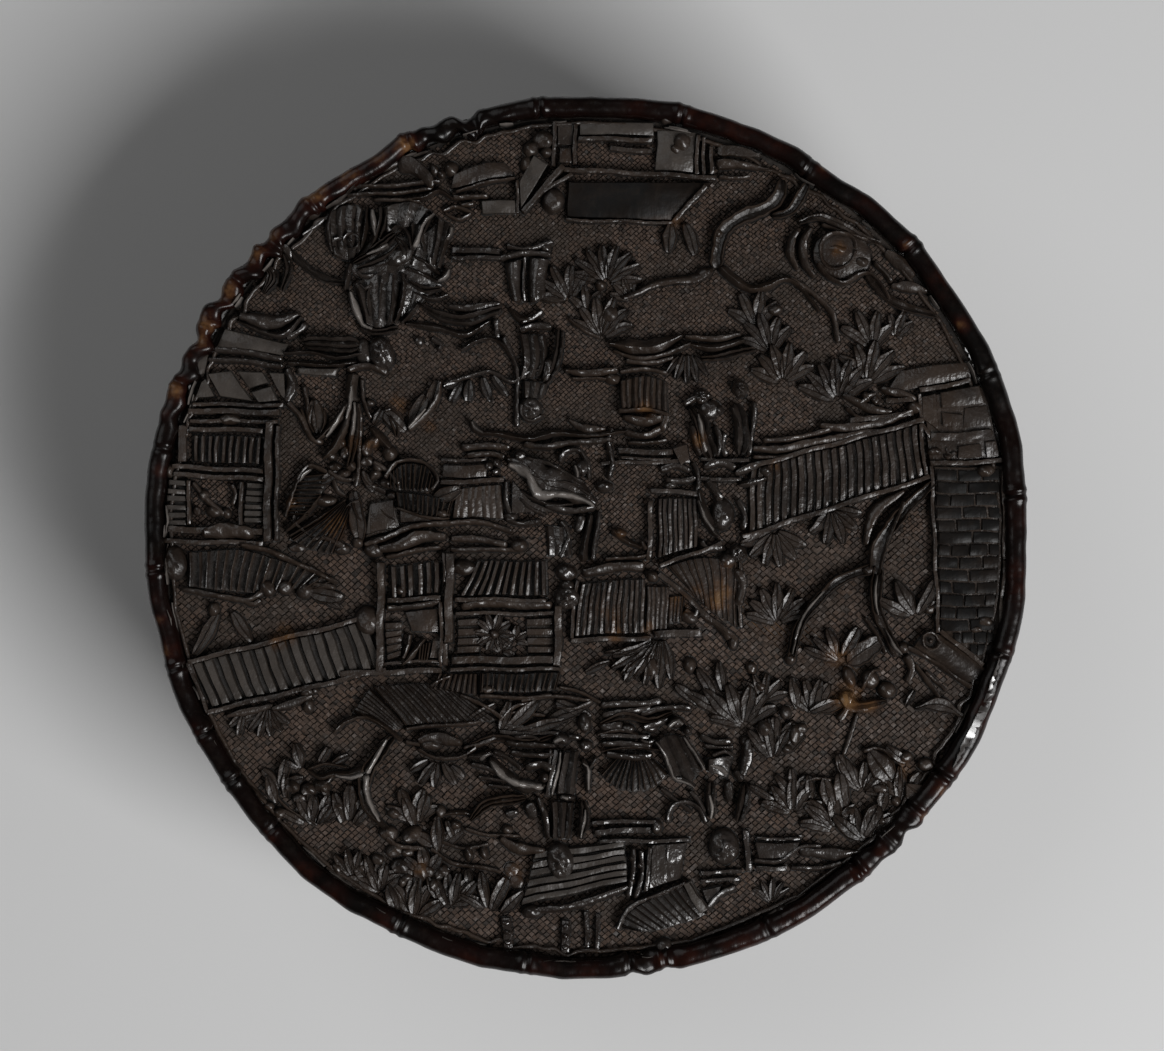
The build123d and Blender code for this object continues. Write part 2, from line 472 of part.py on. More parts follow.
old_tree = dict(
    beams=[strip(0.9, (5.0, 1.2), (5.4, 4.0), (4.4, 6.4), (5.2, 8.8), (6.8, 10.4)),
           strip(0.7, (4.6, 6.2), (2.8, 9.8)),
           strip(0.7, (5.2, 3.8), (7.6, 6.4))],
    leaves=[spray((7.0, 10.0), 80, 152, 2.3), spray((2.8, 9.6), 100, 130, 2.2),
            spray((7.8, 6.4), 60, 114, 2.2)],
)
young_tree = dict(
    beams=[strip(0.9, (39.2, 1.2), (40.2, 3.2), (39.8, 5.6), (41.0, 8.0), (43.0, 9.6)),
           strip(0.7, (40.0, 4.8), (37.6, 8.0))],
    leaves=[spray((43.2, 9.2), 80, 152, 2.4), spray((37.6, 7.8), 120, 152, 2.2)],
)
rock = dict(beams=[area((46.6, 1.2), (47.6, 3.8), (50.0, 4.9), (51.8, 3.2), (52.6, 1.2))])
visitor = dict(beams=[area((32.2, 4.8), (33.8, 4.8), (34.2, 1.2), (31.8, 1.2)), boss((33.0, 5.4), 0.8)])
garden = (frieze_pavilion, short_fence, long_fence, old_tree, young_tree, rock, visitor)


def raised_picture(level, rise):
    """All forms of one level of the picture, from their root in the plate to this rise above its ground."""
    forms = [form for motif in picture for form in motif.get(level, [])]
    whole = scale(Sketch() + forms, picture_scale) & Circle(picture_r)
    return Pos(0, 0, ground_z - relief_root) * extrude(whole, relief_root + rise, dir=(0, 0, 1))


def carved_head(centre, r):
    """Round boss with a rounded top."""
    x, y = (place * picture_scale for place in centre)
    post = Pos(x, y, ground_z - relief_root) * extrude(Circle(r), relief_root + head_rise)
    return fillet(post.edges().group_by(Axis.Z)[-1], head_round)


def raised_frieze(forms, rise):
    """Forms of the frieze laid against the outside of the base's wall, once in each garden."""
    whole = Sketch() + forms
    middle = whole.bounding_box().center().X
    turn = middle / frieze_drawn_length * frieze_turn
    flat = Pos(0, frieze_low) * scale(Pos(-middle, 0) * whole, frieze_scale)
    skin = turned(block(wall_outer_r - relief_root, wall_outer_r + rise, frieze_low, frieze_high))
    one = extrude(Plane.YZ * flat, edge_r, dir=(1, 0, 0)) & Rot(0, 0, 180) * skin
    return [Rot(0, 0, turn + frieze_turn * k) * one for k in range(frieze_repeats)]


def base_plate():
    return disc(plate_r, base_plate_recess, base_wall_bottom)


def base_wall():
    soil_low, soil_high = (frieze_low + up * frieze_scale for up in frieze_soil)
    soil = turned(block(wall_outer_r - relief_root, wall_outer_r + frieze_soil_rise, soil_low,
                        soil_high))
    rises = dict(boards=frieze_board_rise, leaves=frieze_leaf_rise, beams=frieze_beam_rise)
    carved = []
    for motif in garden:
        for level, forms in motif.items():
            carved += raised_frieze(forms, rises[level])
    return turned(block(wall_inner_r, wall_outer_r, base_wall_bottom, mouth_z)) + soil + carved


def base_collar():
    ring = turned(block(collar_inner_r, collar_outer_r, base_wall_bottom, collar_top))
    lip = edges_at(ring, collar_inner_r, collar_top) + edges_at(ring, collar_outer_r, collar_top)
    return fillet(lip, collar_lip_round)


def base_foot_edging():
    section = corner_section(foot_cane_z, 0, base_wall_bottom, base_wall_bottom)
    return bamboo_edging(section, cane_r, cane_r + knuckle_rise, cane_circle_r, knuckle_length)


def base_mouth_edging():
    section = mouth_section(mouth_z - mouth_cane_seat, mouth_z - mouth_cane_diameter * 2, mouth_z)
    knuckle_r = mouth_cane_r + mouth_knuckle_rise
    return bamboo_edging(section, mouth_cane_r, knuckle_r, mouth_cane_circle_r, mouth_knuckle_length)


def lid_wall():
    ring = turned(block(lid_inner_r, wall_outer_r, mouth_z, lid_wall_top))
    return chamfer(edges_at(ring, lid_inner_r, mouth_z), lid_mouth_chamfer)


def lid_mouth_edging():
    section = mouth_section(mouth_z + mouth_cane_seat, mouth_z, mouth_z + mouth_cane_diameter * 2)
    knuckle_r = mouth_cane_r + mouth_knuckle_rise
    return bamboo_edging(section, mouth_cane_r, knuckle_r, mouth_cane_circle_r, mouth_knuckle_length)


def lid_backing_plate():
    return disc(lid_inner_r - glue_line, backing_bottom, lid_wall_top)


def lid_carved_plate():
    border = block(border_outer_r - border_width, border_outer_r, lid_wall_top, ground_z + border_rise)
    rises = dict(boards=board_rise, leaves=leaf_rise, beams=beam_rise, robes=robe_rise)
    levels = [raised_picture(level, rise) for level, rise in rises.items()]
    heads = [carved_head(*head) for motif in picture for head in motif.get("heads", [])]
    return disc(plate_r, lid_wall_top, ground_z) + turned(border) + levels + heads


def lid_top_edging():
    highest = box_height + knuckle_rise
    section = corner_section(lid_cane_z, lid_wall_top, highest, lid_wall_top)
    return bamboo_edging(section, cane_r, cane_r + knuckle_rise, cane_circle_r, knuckle_length)


pieces = {
    "base_plate": base_plate,
    "base_wall": base_wall,
    "base_collar": base_collar,
    "base_foot_edging": base_foot_edging,
    "base_mouth_edging": base_mouth_edging,
    "lid_wall": lid_wall,
    "lid_mouth_edging": lid_mouth_edging,
    "lid_backing_plate": lid_backing_plate,
    "lid_carved_plate": lid_carved_plate,
    "lid_top_edging": lid_top_edging,
}

os.makedirs("parts", exist_ok=True)
for name, make in pieces.items():
    export_step(make(), f"parts/{name}.step")
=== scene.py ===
import math
import bpy
import numpy as np
from mathutils import Matrix, Vector


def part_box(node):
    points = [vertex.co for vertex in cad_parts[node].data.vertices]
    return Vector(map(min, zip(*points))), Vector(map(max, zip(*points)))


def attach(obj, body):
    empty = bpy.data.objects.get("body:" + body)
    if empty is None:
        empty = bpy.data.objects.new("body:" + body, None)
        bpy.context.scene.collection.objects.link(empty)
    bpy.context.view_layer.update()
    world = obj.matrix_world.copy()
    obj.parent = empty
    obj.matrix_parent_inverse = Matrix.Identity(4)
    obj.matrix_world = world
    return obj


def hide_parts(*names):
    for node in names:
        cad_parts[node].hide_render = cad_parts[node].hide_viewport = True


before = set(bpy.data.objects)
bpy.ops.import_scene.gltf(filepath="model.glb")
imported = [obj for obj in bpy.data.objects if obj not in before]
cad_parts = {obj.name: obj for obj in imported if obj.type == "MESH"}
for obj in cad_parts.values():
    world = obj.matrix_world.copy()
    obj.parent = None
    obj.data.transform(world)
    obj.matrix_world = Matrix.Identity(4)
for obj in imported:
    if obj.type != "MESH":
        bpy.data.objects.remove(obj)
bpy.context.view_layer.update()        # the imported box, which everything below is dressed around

# Where the lid lies in the photograph: places on it are written in pixels, heights in mm above its ground
picture = dict(centre=(584.5, 537.5), across=883.0, realAcross=0.088)
pixel = picture["realAcross"] / picture["across"]   # metres
mm = 0.001
wallRadius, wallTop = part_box("lid_wall")[1].x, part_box("lid_wall")[1].z
groundZ = wallTop + 1.0 * mm   # the carved plate lies on the lid's wall

# How every carved form meets the ground: a narrow cut runs round its foot, painted dark as shade through
# its lift of 0
foot = dict(cut=1.1, cutRise=0.03, sunk=0.35, wall=1.0)   # px, mm, mm, px
hand = dict(sway=0.7, tremble=0.28, heave=0.07)   # the carver's unevenness: px, px, share of height


def onLid(p):
    # photograph pixels and height in mm, laid on the lid's ground
    x = (p[:, 0] - picture["centre"][0]) * pixel
    y = (picture["centre"][1] - p[:, 1]) * pixel
    return np.column_stack([x, y, groundZ + p[:, 2] * mm])


def toPicture(metres):
    # the way back: metres to photograph pixels and height in mm
    x = metres[:, 0] / pixel + picture["centre"][0]
    y = picture["centre"][1] - metres[:, 1] / pixel
    return np.column_stack([x, y, (metres[:, 2] - groundZ) / mm])


def onWall(radius, top):
    # tenths of a mm along the wall and down from its top, and mm outwards, wrapped round a cylinder
    def place(p):
        # turn = run along the wall / radius
        turn = p[:, 0] * 0.1 * mm / radius
        r = radius + p[:, 2] * mm
        return np.column_stack([r * np.cos(turn), r * np.sin(turn), top - p[:, 1] * 0.1 * mm])
    return place


def asIs(p):
    # points already in metres
    return p


def unevenHand(p, scale=1.0):
    # slow and quick waves added sideways, and a slow swell added to the height
    x, y = p[:, 0] / scale, p[:, 1] / scale
    out = p.copy()
    slow, quick = hand["sway"] * scale, hand["tremble"] * scale
    out[:, 0] += slow * np.sin(0.11 * y + 1.3 * np.sin(0.045 * x)) + quick * np.sin(0.83 * y + 0.31 * x)
    out[:, 1] += slow * np.sin(0.10 * x + 1.1 * np.sin(0.051 * y)) + quick * np.sin(0.79 * x - 0.37 * y)
    out[:, 2] *= 1 + hand["heave"] * (np.sin(0.21 * x + 0.17 * y) + np.sin(0.47 * x - 0.39 * y))
    return out


def alongList(values, t):
    # one number, or a list of numbers spread evenly from 0 to 1 and eased between
    values = np.atleast_1d(np.asarray(values, float))
    if len(values) == 1:
        return np.full(len(t), values[0])
    at = np.clip(t, 0, 1) * (len(values) - 1)
    i = np.minimum(at.astype(int), len(values) - 2)
    f = at - i
    f = 0.5 * f + 0.5 * f * f * (3 - 2 * f)
    return values[i] * (1 - f) + values[i + 1] * f


def smoothCurve(points):
    # Catmull-Rom curve through the points, and the length run at each of its fine steps
    p = np.reshape(np.asarray(points, float), (-1, 2))
    if len(p) == 2:
        fine = p[0] + np.linspace(0, 1, 9)[:, None] * (p[1] - p[0])
    else:
        q = np.vstack([2 * p[0] - p[1], p, 2 * p[-1] - p[-2]])
        at = np.linspace(0, len(p) - 1, 14 * (len(p) - 1) + 1)
        i = np.minimum(at.astype(int), len(p) - 2)
        f = (at - i)[:, None]
        a, b, c, d = q[i], q[i + 1], q[i + 2], q[i + 3]
        fine = b + 0.5 * f * (c - a + f * (2 * a - 5 * b + 4 * c - d + f * (3 * (b - c) + d - a)))
    run = np.r_[0, np.cumsum(np.linalg.norm(np.diff(fine, axis=0), axis=1))]
    return fine, run


def pointsAt(curve, distance):
    # straight line past both ends, the curve between them
    fine, run = curve
    inside = np.clip(distance, 0, run[-1])
    p = np.column_stack([np.interp(inside, run, fine[:, k]) for k in (0, 1)])
    startWay = (fine[1] - fine[0]) / max(run[1], 1e-9)
    endWay = (fine[-1] - fine[-2]) / max(run[-1] - run[-2], 1e-9)
    p += np.minimum(distance, 0)[:, None] * startWay
    return p + np.maximum(distance - run[-1], 0)[:, None] * endWay


def roundSection(sides, power):
    # half a circle, flattened on top where the power is under 1
    t = np.linspace(0, math.pi, sides)
    return -np.cos(t), np.sin(t) ** power


def foldSection(folds, depth):
    # rounded ridges side by side, with sharp valleys between them
    a = np.linspace(-1, 1, folds * 4 + 1)
    up = 1 - depth + depth * np.abs(np.sin(0.5 * math.pi * folds * (a + 1)))
    up[[0, -1]] = 0
    return a, up


def slatSection(count, gap, depth):
    # flat slats side by side, with square grooves between them
    one = np.array([0.5 * gap, 0.5 * gap + 0.12, 0.5, 0.88 - 0.5 * gap, 1 - 0.5 * gap])
    up = np.array([1 - depth, 0.97, 1.0, 0.97, 1 - depth])
    k = np.arange(count)[:, None]
    a = ((k + one[None, :] + 0.07 * np.sin(2.4 * k + count)) / count).ravel() * 2 - 1
    up = up[None, :] * (1 - 0.06 * (1 + np.sin(3.7 * k + 1)))
    return np.r_[-1, np.clip(a, -0.995, 0.995), 1], np.r_[0, up.ravel(), 0]


def ribSection(ribs, depth):
    # narrow raised ribs on a sunk band
    k = np.arange(ribs)[:, None]
    one, up = np.array([0.3, 0.42, 0.5, 0.66]), np.array([1 - depth, 1, 0.95, 1 - depth])
    a = ((k + one[None, :] + 0.08 * np.sin(2.9 * k + ribs)) / ribs).ravel() * 2 - 1
    return np.r_[-1, -0.97, a, 0.97, 1], np.r_[0, 0.9, np.tile(up, ribs), 0.9, 0]


def profile(*pairs):
    # pairs of across and up, as the two lists of a section
    return np.array([p[0] for p in pairs], float), np.array([p[1] for p in pairs], float)


# Cross-sections from left foot to right foot: how far across, from -1 to 1, and how high, from 0 to 1
sections = dict(
    bead=profile((-1, 0), (-0.97, 0.74), (-0.84, 0.94), (-0.45, 1), (0.1, 0.95), (0.6, 0.78),
        (0.93, 0.5), (1, 0)),
    swell=roundSection(13, 0.6),
    flat=profile((-1, 0), (-0.98, 0.9), (-0.93, 1), (0, 1), (0.93, 1), (0.98, 0.9), (1, 0)),
    slab=profile((-1, 0), (-0.95, 0.72), (-0.82, 0.98), (0, 1.02), (0.82, 0.98), (0.95, 0.72), (1, 0)),
    ridge=profile((-1, 0), (-0.95, 0.5), (-0.5, 0.76), (-0.06, 1), (0.1, 0.98), (0.55, 0.66),
        (0.94, 0.4), (1, 0)),
    leaf=profile((-1, 0), (-0.95, 0.68), (-0.83, 0.97), (-0.74, 0.8), (-0.3, 0.74), (-0.1, 0.72),
        (-0.05, 0.82), (0, 0.9), (0.05, 0.82), (0.1, 0.72), (0.3, 0.74), (0.74, 0.8), (0.83, 0.97),
        (0.95, 0.68), (1, 0)),
    trough=profile((-1, 0), (-0.95, 0.75), (-0.8, 1), (-0.5, 0.62), (0, 0.5), (0.5, 0.62), (0.8, 1),
        (0.95, 0.75), (1, 0)),
    bark=profile((-1, 0), (-0.94, 0.6), (-0.65, 0.95), (-0.3, 0.66), (-0.05, 0.8), (0.35, 1),
        (0.75, 0.85), (0.94, 0.5), (1, 0)),
    twoFolds=profile((-1, 0), (-0.95, 0.6), (-0.75, 1), (-0.35, 0.82), (-0.12, 0.56), (0.1, 0.72),
        (0.5, 0.98), (0.8, 0.8), (0.95, 0.45), (1, 0)),
    threeFolds=profile((-1, 0), (-0.96, 0.6), (-0.8, 1), (-0.5, 0.78), (-0.38, 0.6), (-0.2, 0.84),
        (0.05, 1), (0.3, 0.7), (0.4, 0.56), (0.55, 0.8), (0.75, 0.92), (0.95, 0.5), (1, 0)),
    fiveFolds=profile((-1, 0), (-0.97, 0.6), (-0.86, 0.95), (-0.62, 0.72), (-0.52, 0.55), (-0.4, 0.86),
        (-0.2, 0.98), (-0.02, 0.6), (0.08, 0.8), (0.3, 1), (0.46, 0.62), (0.58, 0.84), (0.72, 0.9),
        (0.84, 0.62), (0.96, 0.5), (1, 0)),
)


def closedRings(rings, lift):
    # rings of points joined by quads to their neighbours, each end closed by a fan to its middle
    n, m = rings.shape[:2]
    i = np.arange(n - 1)[:, None] * m
    j = np.arange(m)[None, :]
    k = (j + 1) % m
    quads = np.stack([i + j, i + k, i + m + k, i + m + j], -1).reshape(-1, 4)
    j, k = j.ravel(), k.ravel()
    first = np.column_stack([np.full(m, n * m), k, j])
    last = np.column_stack([np.full(m, n * m + 1), (n - 1) * m + j, (n - 1) * m + k])
    points = np.vstack([rings.reshape(-1, 3), rings[0].mean(0), rings[-1].mean(0)])
    lifts = np.r_[lift.ravel(), lift[0].mean(), lift[-1].mean()]
    return points, quads, np.vstack([first, last]), lifts


def withFoot(xy, up, height, outward):
    # closes a section below: its two feet run out to the cut and then down into the plate, all at a lift
    # of 0, so painted darkest as shade
    left = xy[:, :1] - outward[:, :1]
    right = xy[:, -1:] + outward[:, 1:]
    flat = np.concatenate([left, left, xy, right, right], 1)
    n = len(xy)
    z = up * height[:, None]
    sunk, rise = np.full((n, 1), -foot["sunk"]), np.full((n, 1), foot["cutRise"])
    z = np.concatenate([sunk, rise, z, rise, sunk], 1)
    none = np.zeros((n, 1))
    # feet and cut at lift 0: painted shade
    lift = np.concatenate([none, none, up, none, none], 1)
    return closedRings(np.concatenate([flat, z[..., None]], 2), lift)


def endStations(length, ends, startHalf, endHalf, step):
    # distances along a form, how far its width has opened there and how far its height has risen
    if ends == "square":
        wall = min(foot["wall"], 0.2 * length)
        start = np.array([-foot["cut"], 0, 0.35 * wall, 1.2 * wall])
        rise = np.array([0, 0, 0.93, 1.0])
        middle = np.linspace(start[-1], length - start[-1], max(2, int(length / step)))[1:-1]
        s = np.r_[start, middle, length - start[::-1]]
        return s, np.ones(len(s)), np.r_[rise, np.ones(len(middle)), rise[::-1]]
    quarter = 1 - np.cos(np.linspace(0, 0.5 * math.pi, 4))
    startR, endR = (min(max(h, 0.3), 0.45 * length) for h in (startHalf, endHalf))
    middle = np.linspace(startR, length - endR, max(3, int(length / step)))[1:-1]
    s = np.r_[quarter * startR, middle, length - quarter[::-1] * endR]
    shut = np.sqrt(np.maximum(1 - (1 - quarter) ** 2, 0.0))
    opened = np.r_[shut, np.ones(len(middle)), shut[::-1]]
    return s, np.maximum(opened, 0.05), opened ** 0.6


def stroke(points, width, height, section="bead", ends="round", step=4.5):
    # a section carried along a smooth path x, y, x, y ..., its width and height following their lists
    points = np.reshape(points, (-1, 2))
    curve = smoothCurve(points)
    length = curve[1][-1]
    widths = np.atleast_1d(np.asarray(width, float))
    s, opened, risen = endStations(length, ends, widths[0] / 2, widths[-1] / 2, step)
    path = pointsAt(curve, s)
    way = pointsAt(curve, s + 0.3) - pointsAt(curve, s - 0.3)
    way /= np.linalg.norm(way, axis=1)[:, None]
    side = np.column_stack([-way[:, 1], way[:, 0]])
    t = s / length
    half = np.maximum(alongList(width, t) / 2 * opened, 0.12)
    if ends == "round":
        half *= 1 + 0.09 * np.sin(0.19 * s + points[0][0]) + 0.05 * np.sin(0.47 * s + points[0][1])
    across, up = sections[section] if isinstance(section, str) else section
    xy = path[:, None] + side[:, None] * (across[None, :, None] * half[:, None, None])
    upAll = np.repeat(up[None], len(s), 0) * np.minimum(risen, 1)[:, None]
    out = np.stack([side, side], 1) * foot["cut"]
    return withFoot(xy, upAll, alongList(height, t), out)


def panel(edgeA, edgeB, height, section="slab", bow=0.0, step=9.0):
    # a section laid along edge A and carried across to edge B, bowed in between, walled at both ends
    across, up = sections[section] if isinstance(section, str) else section
    u = (across + 1) / 2
    curveA, curveB = smoothCurve(edgeA), smoothCurve(edgeB)
    a = pointsAt(curveA, u * curveA[1][-1])
    b = pointsAt(curveB, u * curveB[1][-1])
    length = np.linalg.norm(b - a, axis=1).mean()
    s, _, risen = endStations(length, "square", 0, 0, step)
    xy = a[None] + (b - a)[None] * (s / length)[:, None, None]
    sideways = (a[-1] - a[0]) / max(np.linalg.norm(a[-1] - a[0]), 1e-6)
    xy += bow * np.sin(math.pi * np.clip(s / length, 0, 1))[:, None, None] * sideways
    leftWay, rightWay = xy[:, 1] - xy[:, 0], xy[:, -1] - xy[:, -2]
    out = np.stack([leftWay, rightWay], 1)
    out *= foot["cut"] / np.maximum(np.linalg.norm(out, axis=2), 1e-6)[..., None]
    upAll = np.repeat(up[None], len(s), 0) * risen[:, None]
    return withFoot(xy, upAll, alongList(height, s / length), out)


def dome(centre, radii, height, turn, fullness, sides, steps, relief=None):
    # rings of an ellipse that draw in to a rounded top, with a relief added as a function of place on it
    t = np.linspace(0, 0.5 * math.pi, steps + 1)[:-1]
    shrink = np.r_[1, 1, np.cos(t)]
    rise = np.r_[0, 0, np.sin(t) ** fullness]
    extra = np.r_[foot["cut"], foot["cut"], np.zeros(steps)]
    a = np.linspace(0, 2 * math.pi, sides + 1)[:-1]
    u, v = shrink[:, None] * np.cos(a), shrink[:, None] * np.sin(a)
    carved = relief(u, v) * rise[:, None] if relief else 0.0
    z = height * (rise[:, None] + carved) + np.zeros_like(u)
    z[0], z[1] = -foot["sunk"], foot["cutRise"]
    x = radii[0] * u + extra[:, None] * np.cos(a)
    y = radii[1] * v + extra[:, None] * np.sin(a)
    c, s = math.cos(math.radians(turn)), math.sin(math.radians(turn))
    rings = np.stack([centre[0] + c * x - s * y, centre[1] - s * x - c * y, z], -1)
    # lift follows height, so cut-in eyes, mouth and the foot are painted darker as shade
    lift = np.clip(rise[:, None] + 1.5 * carved, 0, 1) + np.zeros_like(u)
    points, quads, tris, lifts = closedRings(rings, lift)
    top = relief(np.zeros(1), np.zeros(1))[0] if relief else 0.0
    points[-1, 2], lifts[-1] = height * (1 + top), 1.0
    return points, quads, tris, lifts


def knob(x, y, wide, long, height, turn=0.0, fullness=0.8):
    # a plain rounded boss
    return dome((x, y), (wide, long), height, turn, fullness, sides=16, steps=5)


def lumps(u, v):
    # two crossed waves, as shares of the height
    return 0.13 * np.sin(4.3 * u + 1.7 * v) + 0.1 * np.sin(3.9 * v - 2.6 * u + 1.0)


def rock(x, y, wide, long, height, turn=0.0):
    # a boss broken by low lumps
    return dome((x, y), (wide, long), height, turn, fullness=0.6, sides=14, steps=5, relief=lumps)


def bell(u, v, atU, atV, wideU, wideV):
    # exp(-d * d), d being the distance from its middle in widths
    return np.exp(-((u - atU) / wideU) ** 2 - ((v - atV) / wideV) ** 2)


def plainFace(u, v):
    # nose, brows, cheeks and chin stand out; eyes, mouth and the line under the hair are cut in
    side = np.abs(u)
    out = 0.17 * bell(u, v, 0, -0.06, 0.15, 0.26) + 0.09 * bell(side, v, 0.3, 0.24, 0.24, 0.08)
    out += 0.06 * bell(side, v, 0.38, -0.22, 0.2, 0.16) + 0.08 * bell(u, v, 0, -0.66, 0.22, 0.12)
    out -= 0.16 * bell(side, v, 0.33, 0.1, 0.17, 0.08) + 0.15 * bell(u, v, 0, -0.42, 0.26, 0.06)
    hair = 1 / (1 + np.exp(-(v + 0.25 * u * u - 0.5) * 22))
    strands = np.sin(16 * np.arctan2(u, v + 0.3))
    return out - 0.12 * bell(v + 0.25 * u * u, 0 * v, 0.46, 0, 0.06, 1) + hair * (0.1 + 0.05 * strands)


def head(x, y, wide, long, height, crown):
    # a small head seen from the front, its crown turned to this angle in the picture
    return dome((x, y), (wide, long), height, crown - 90, 0.62, sides=30, steps=11, relief=plainFace)


def ring(x, y, radius, width, height):
    # a bead bent into a circle
    a = np.linspace(0, 2 * math.pi, 10)
    loop = np.column_stack([x + radius * np.cos(a), y + radius * np.sin(a)])
    return stroke(loop, width, height)


def leaf(x, y, facing, length, width, height=0.85, bend=0.0):
    # a plump blade, scooped on both sides of its rib; facing is in degrees, bend moves its middle sideways
    a = math.radians(facing)
    way, side = np.array([math.cos(a), -math.sin(a)]), np.array([math.sin(a), math.cos(a)])
    base = np.array([x, y], float)
    middle = base + way * 0.55 * length + side * bend
    wide = np.array([0.4, 0.85, 1.1, 1.12, 0.9, 0.42]) * width
    high = np.array([0.55, 0.8, 1.0, 1.05, 0.9]) * height
    return stroke((base, middle, base + way * length), wide, high, "leaf", step=5.0)


def leafFan(x, y, facing, spread, count, length, width, height=0.85):
    # leaves turned evenly about the fan's root, the middle ones longest and highest
    shells = []
    for k in range(count):
        off = 0.0 if count == 1 else 2 * k / (count - 1) - 1
        turn = facing + off * spread / 2
        a = math.radians(turn)
        root = np.array([x, y], float) + 0.1 * length * np.array([math.cos(a), -math.sin(a)])
        grown = length * (1 - 0.14 * abs(off) + 0.05 * math.sin(5.1 * k + x))
        high = height * (1 - 0.3 * abs(off))
        shells.append(leaf(*root, turn, grown, width, high, 0.05 * length * off))
    return shells


# How forms are written: paths run x, y, x, y; widths and radii are in pixels, heights in mm, angles in
# degrees. A stroke, under its section's name: path, width, height. A bar: two ends, width, height.
# A panel or flat plate: near edge, far edge, height. A knob or rock: middle, two radii, height, turn.
# A leaf: root, facing, length, width. A fan: root, facing, spread, how many leaves, length, width.
def carve(motif):
    # every form that a motif's dictionary lists, each as one closed shell
    shells = [stroke(*s, name) for name in sections for s in motif.get(name, ())]
    shells += [stroke(b[:4], b[4], b[5], "slab", "square") for b in motif.get("bars", ())]
    shells += [panel(*p, "flat") for p in motif.get("plates", ())]
    for key, make in (("strokes", stroke), ("panels", panel), ("knobs", knob), ("rocks", rock),
                      ("heads", head), ("rings", ring), ("leaves", leaf)):
        shells += [make(*form) for form in motif.get(key, ())]
    for f in motif.get("fans", ()):
        shells += leafFan(*f)
    return shells


# Amber and orange patches where the shell is thin: place in pixels, radius in pixels, strength
carvingGlow = (
    ((678, 605), 10, 0.9), ((720, 598), 12, 1.0), ((848, 698), 16, 0.9), ((870, 708), 10, 0.6),
    ((700, 590), 10, 0.4), ((838, 655), 14, 0.6), ((335, 525), 12, 0.7), ((402, 405), 9, 0.6),
    ((372, 445), 9, 0.45), ((838, 249), 9, 0.6), ((615, 635), 9, 0.6), ((648, 630), 8, 0.6),
    ((698, 440), 9, 0.55), ((566, 153), 6, 0.55), ((285, 632), 11, 0.7), ((905, 770), 9, 0.6),
    ((920, 805), 9, 0.6), ((515, 872), 12, 0.4), ((775, 465), 7, 0.5), ((645, 409), 9, 0.6),
    ((352, 445), 10, 0.45), ((620, 533), 7, 0.5), ((428, 425), 8, 0.6), ((290, 503), 7, 0.5),
    ((420, 868), 10, 0.45), ((677, 222), 8, 0.5), ((725, 570), 12, 0.35), ((610, 610), 22, 0.3),
    ((275, 640), 9, 0.5), ((395, 400), 8, 0.5))


def glowAt(metres, patches):
    # the strongest of the patches, each fading as a bell from its middle
    p = toPicture(metres)
    best = np.zeros(len(metres))
    for (cx, cy), r, strength in patches:
        best = np.maximum(best, strength * np.exp(-((p[:, 0] - cx) ** 2 + (p[:, 1] - cy) ** 2) / r ** 2))
    return best


def outward(points, quads, tris):
    # turns the faces round where the shell's signed volume is negative
    corners = np.vstack([quads[:, [0, 1, 2]], quads[:, [0, 2, 3]], tris])
    a, b, c = (points[corners[:, k]] for k in range(3))
    if np.einsum("ij,ij->i", a - points.mean(0), np.cross(b - a, c - a)).sum() < 0:
        return quads[:, ::-1], tris[:, ::-1]
    return quads, tris


def makePiece(name, shells, place, material, body, crease=38.0, uneven=1.0, glow=()):
    # joins closed shells into one mesh and hangs it on its body
    allPoints, allFaces, allLifts, count = [], [], [], 0
    for points, quads, tris, lifts in shells:
        metres = place(unevenHand(points, uneven) if uneven else points)
        quads, tris = outward(metres, quads, tris)
        allPoints.append(metres)
        allFaces += (quads + count).tolist() + (tris + count).tolist()
        allLifts.append(lifts)
        count += len(metres)
    points = np.vstack(allPoints)
    mesh = bpy.data.meshes.new(name)
    mesh.from_pydata(points.tolist(), [], allFaces)
    for label, values in (("lift", np.concatenate(allLifts)), ("amber", glowAt(points, glow))):
        mesh.attributes.new(label, "FLOAT", "POINT").data.foreach_set("value", values.astype(np.float32))
    mesh.polygons.foreach_set("use_smooth", np.ones(len(mesh.polygons), bool))
    mesh.set_sharp_from_angle(angle=math.radians(crease))
    mesh.materials.append(material)
    piece = bpy.data.objects.new(name, mesh)
    bpy.context.scene.collection.objects.link(piece)
    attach(piece, body)
    triangles = sum(len(f) - 2 for f in allFaces)
    print(name, "shells", len(shells), "triangles", triangles)
    return piece


# Materials: tortoiseshell in its finishes
def node(tree, kind, inputs=None, **settings):
    # a shader node whose inputs are values or other nodes' sockets
    n = tree.nodes.new(kind)
    for key, value in settings.items():
        setattr(n, key, value)
    for key, value in (inputs or {}).items():
        if isinstance(value, bpy.types.NodeSocket):
            tree.links.new(value, n.inputs[key])
        else:
            n.inputs[key].default_value = value
    return n


def ramp(tree, value, stops):
    # straight lines between colour stops along a value
    n = node(tree, "ShaderNodeValToRGB", {0: value})
    while len(n.color_ramp.elements) < len(stops):
        n.color_ramp.elements.new(0.5)
    for e, (at, colour) in zip(n.color_ramp.elements, stops):
        e.position = at
        e.color = (*colour, 1) if len(colour) == 3 else colour
    return n.outputs[0]


def grey(v):
    # one level in red, green and blue
    return (v, v, v)


def blend(tree, share, a, b, how="MIX"):
    # a + (b - a) * share
    n = node(tree, "ShaderNodeMix", data_type="RGBA", blend_type=how)
    for socket, value in ((n.inputs[0], share), (n.inputs[6], a), (n.inputs[7], b)):
        if isinstance(value, bpy.types.NodeSocket):
            tree.links.new(value, socket)
        else:
            socket.default_value = (*value, 1) if isinstance(value, tuple) else value
    return n.outputs[2]


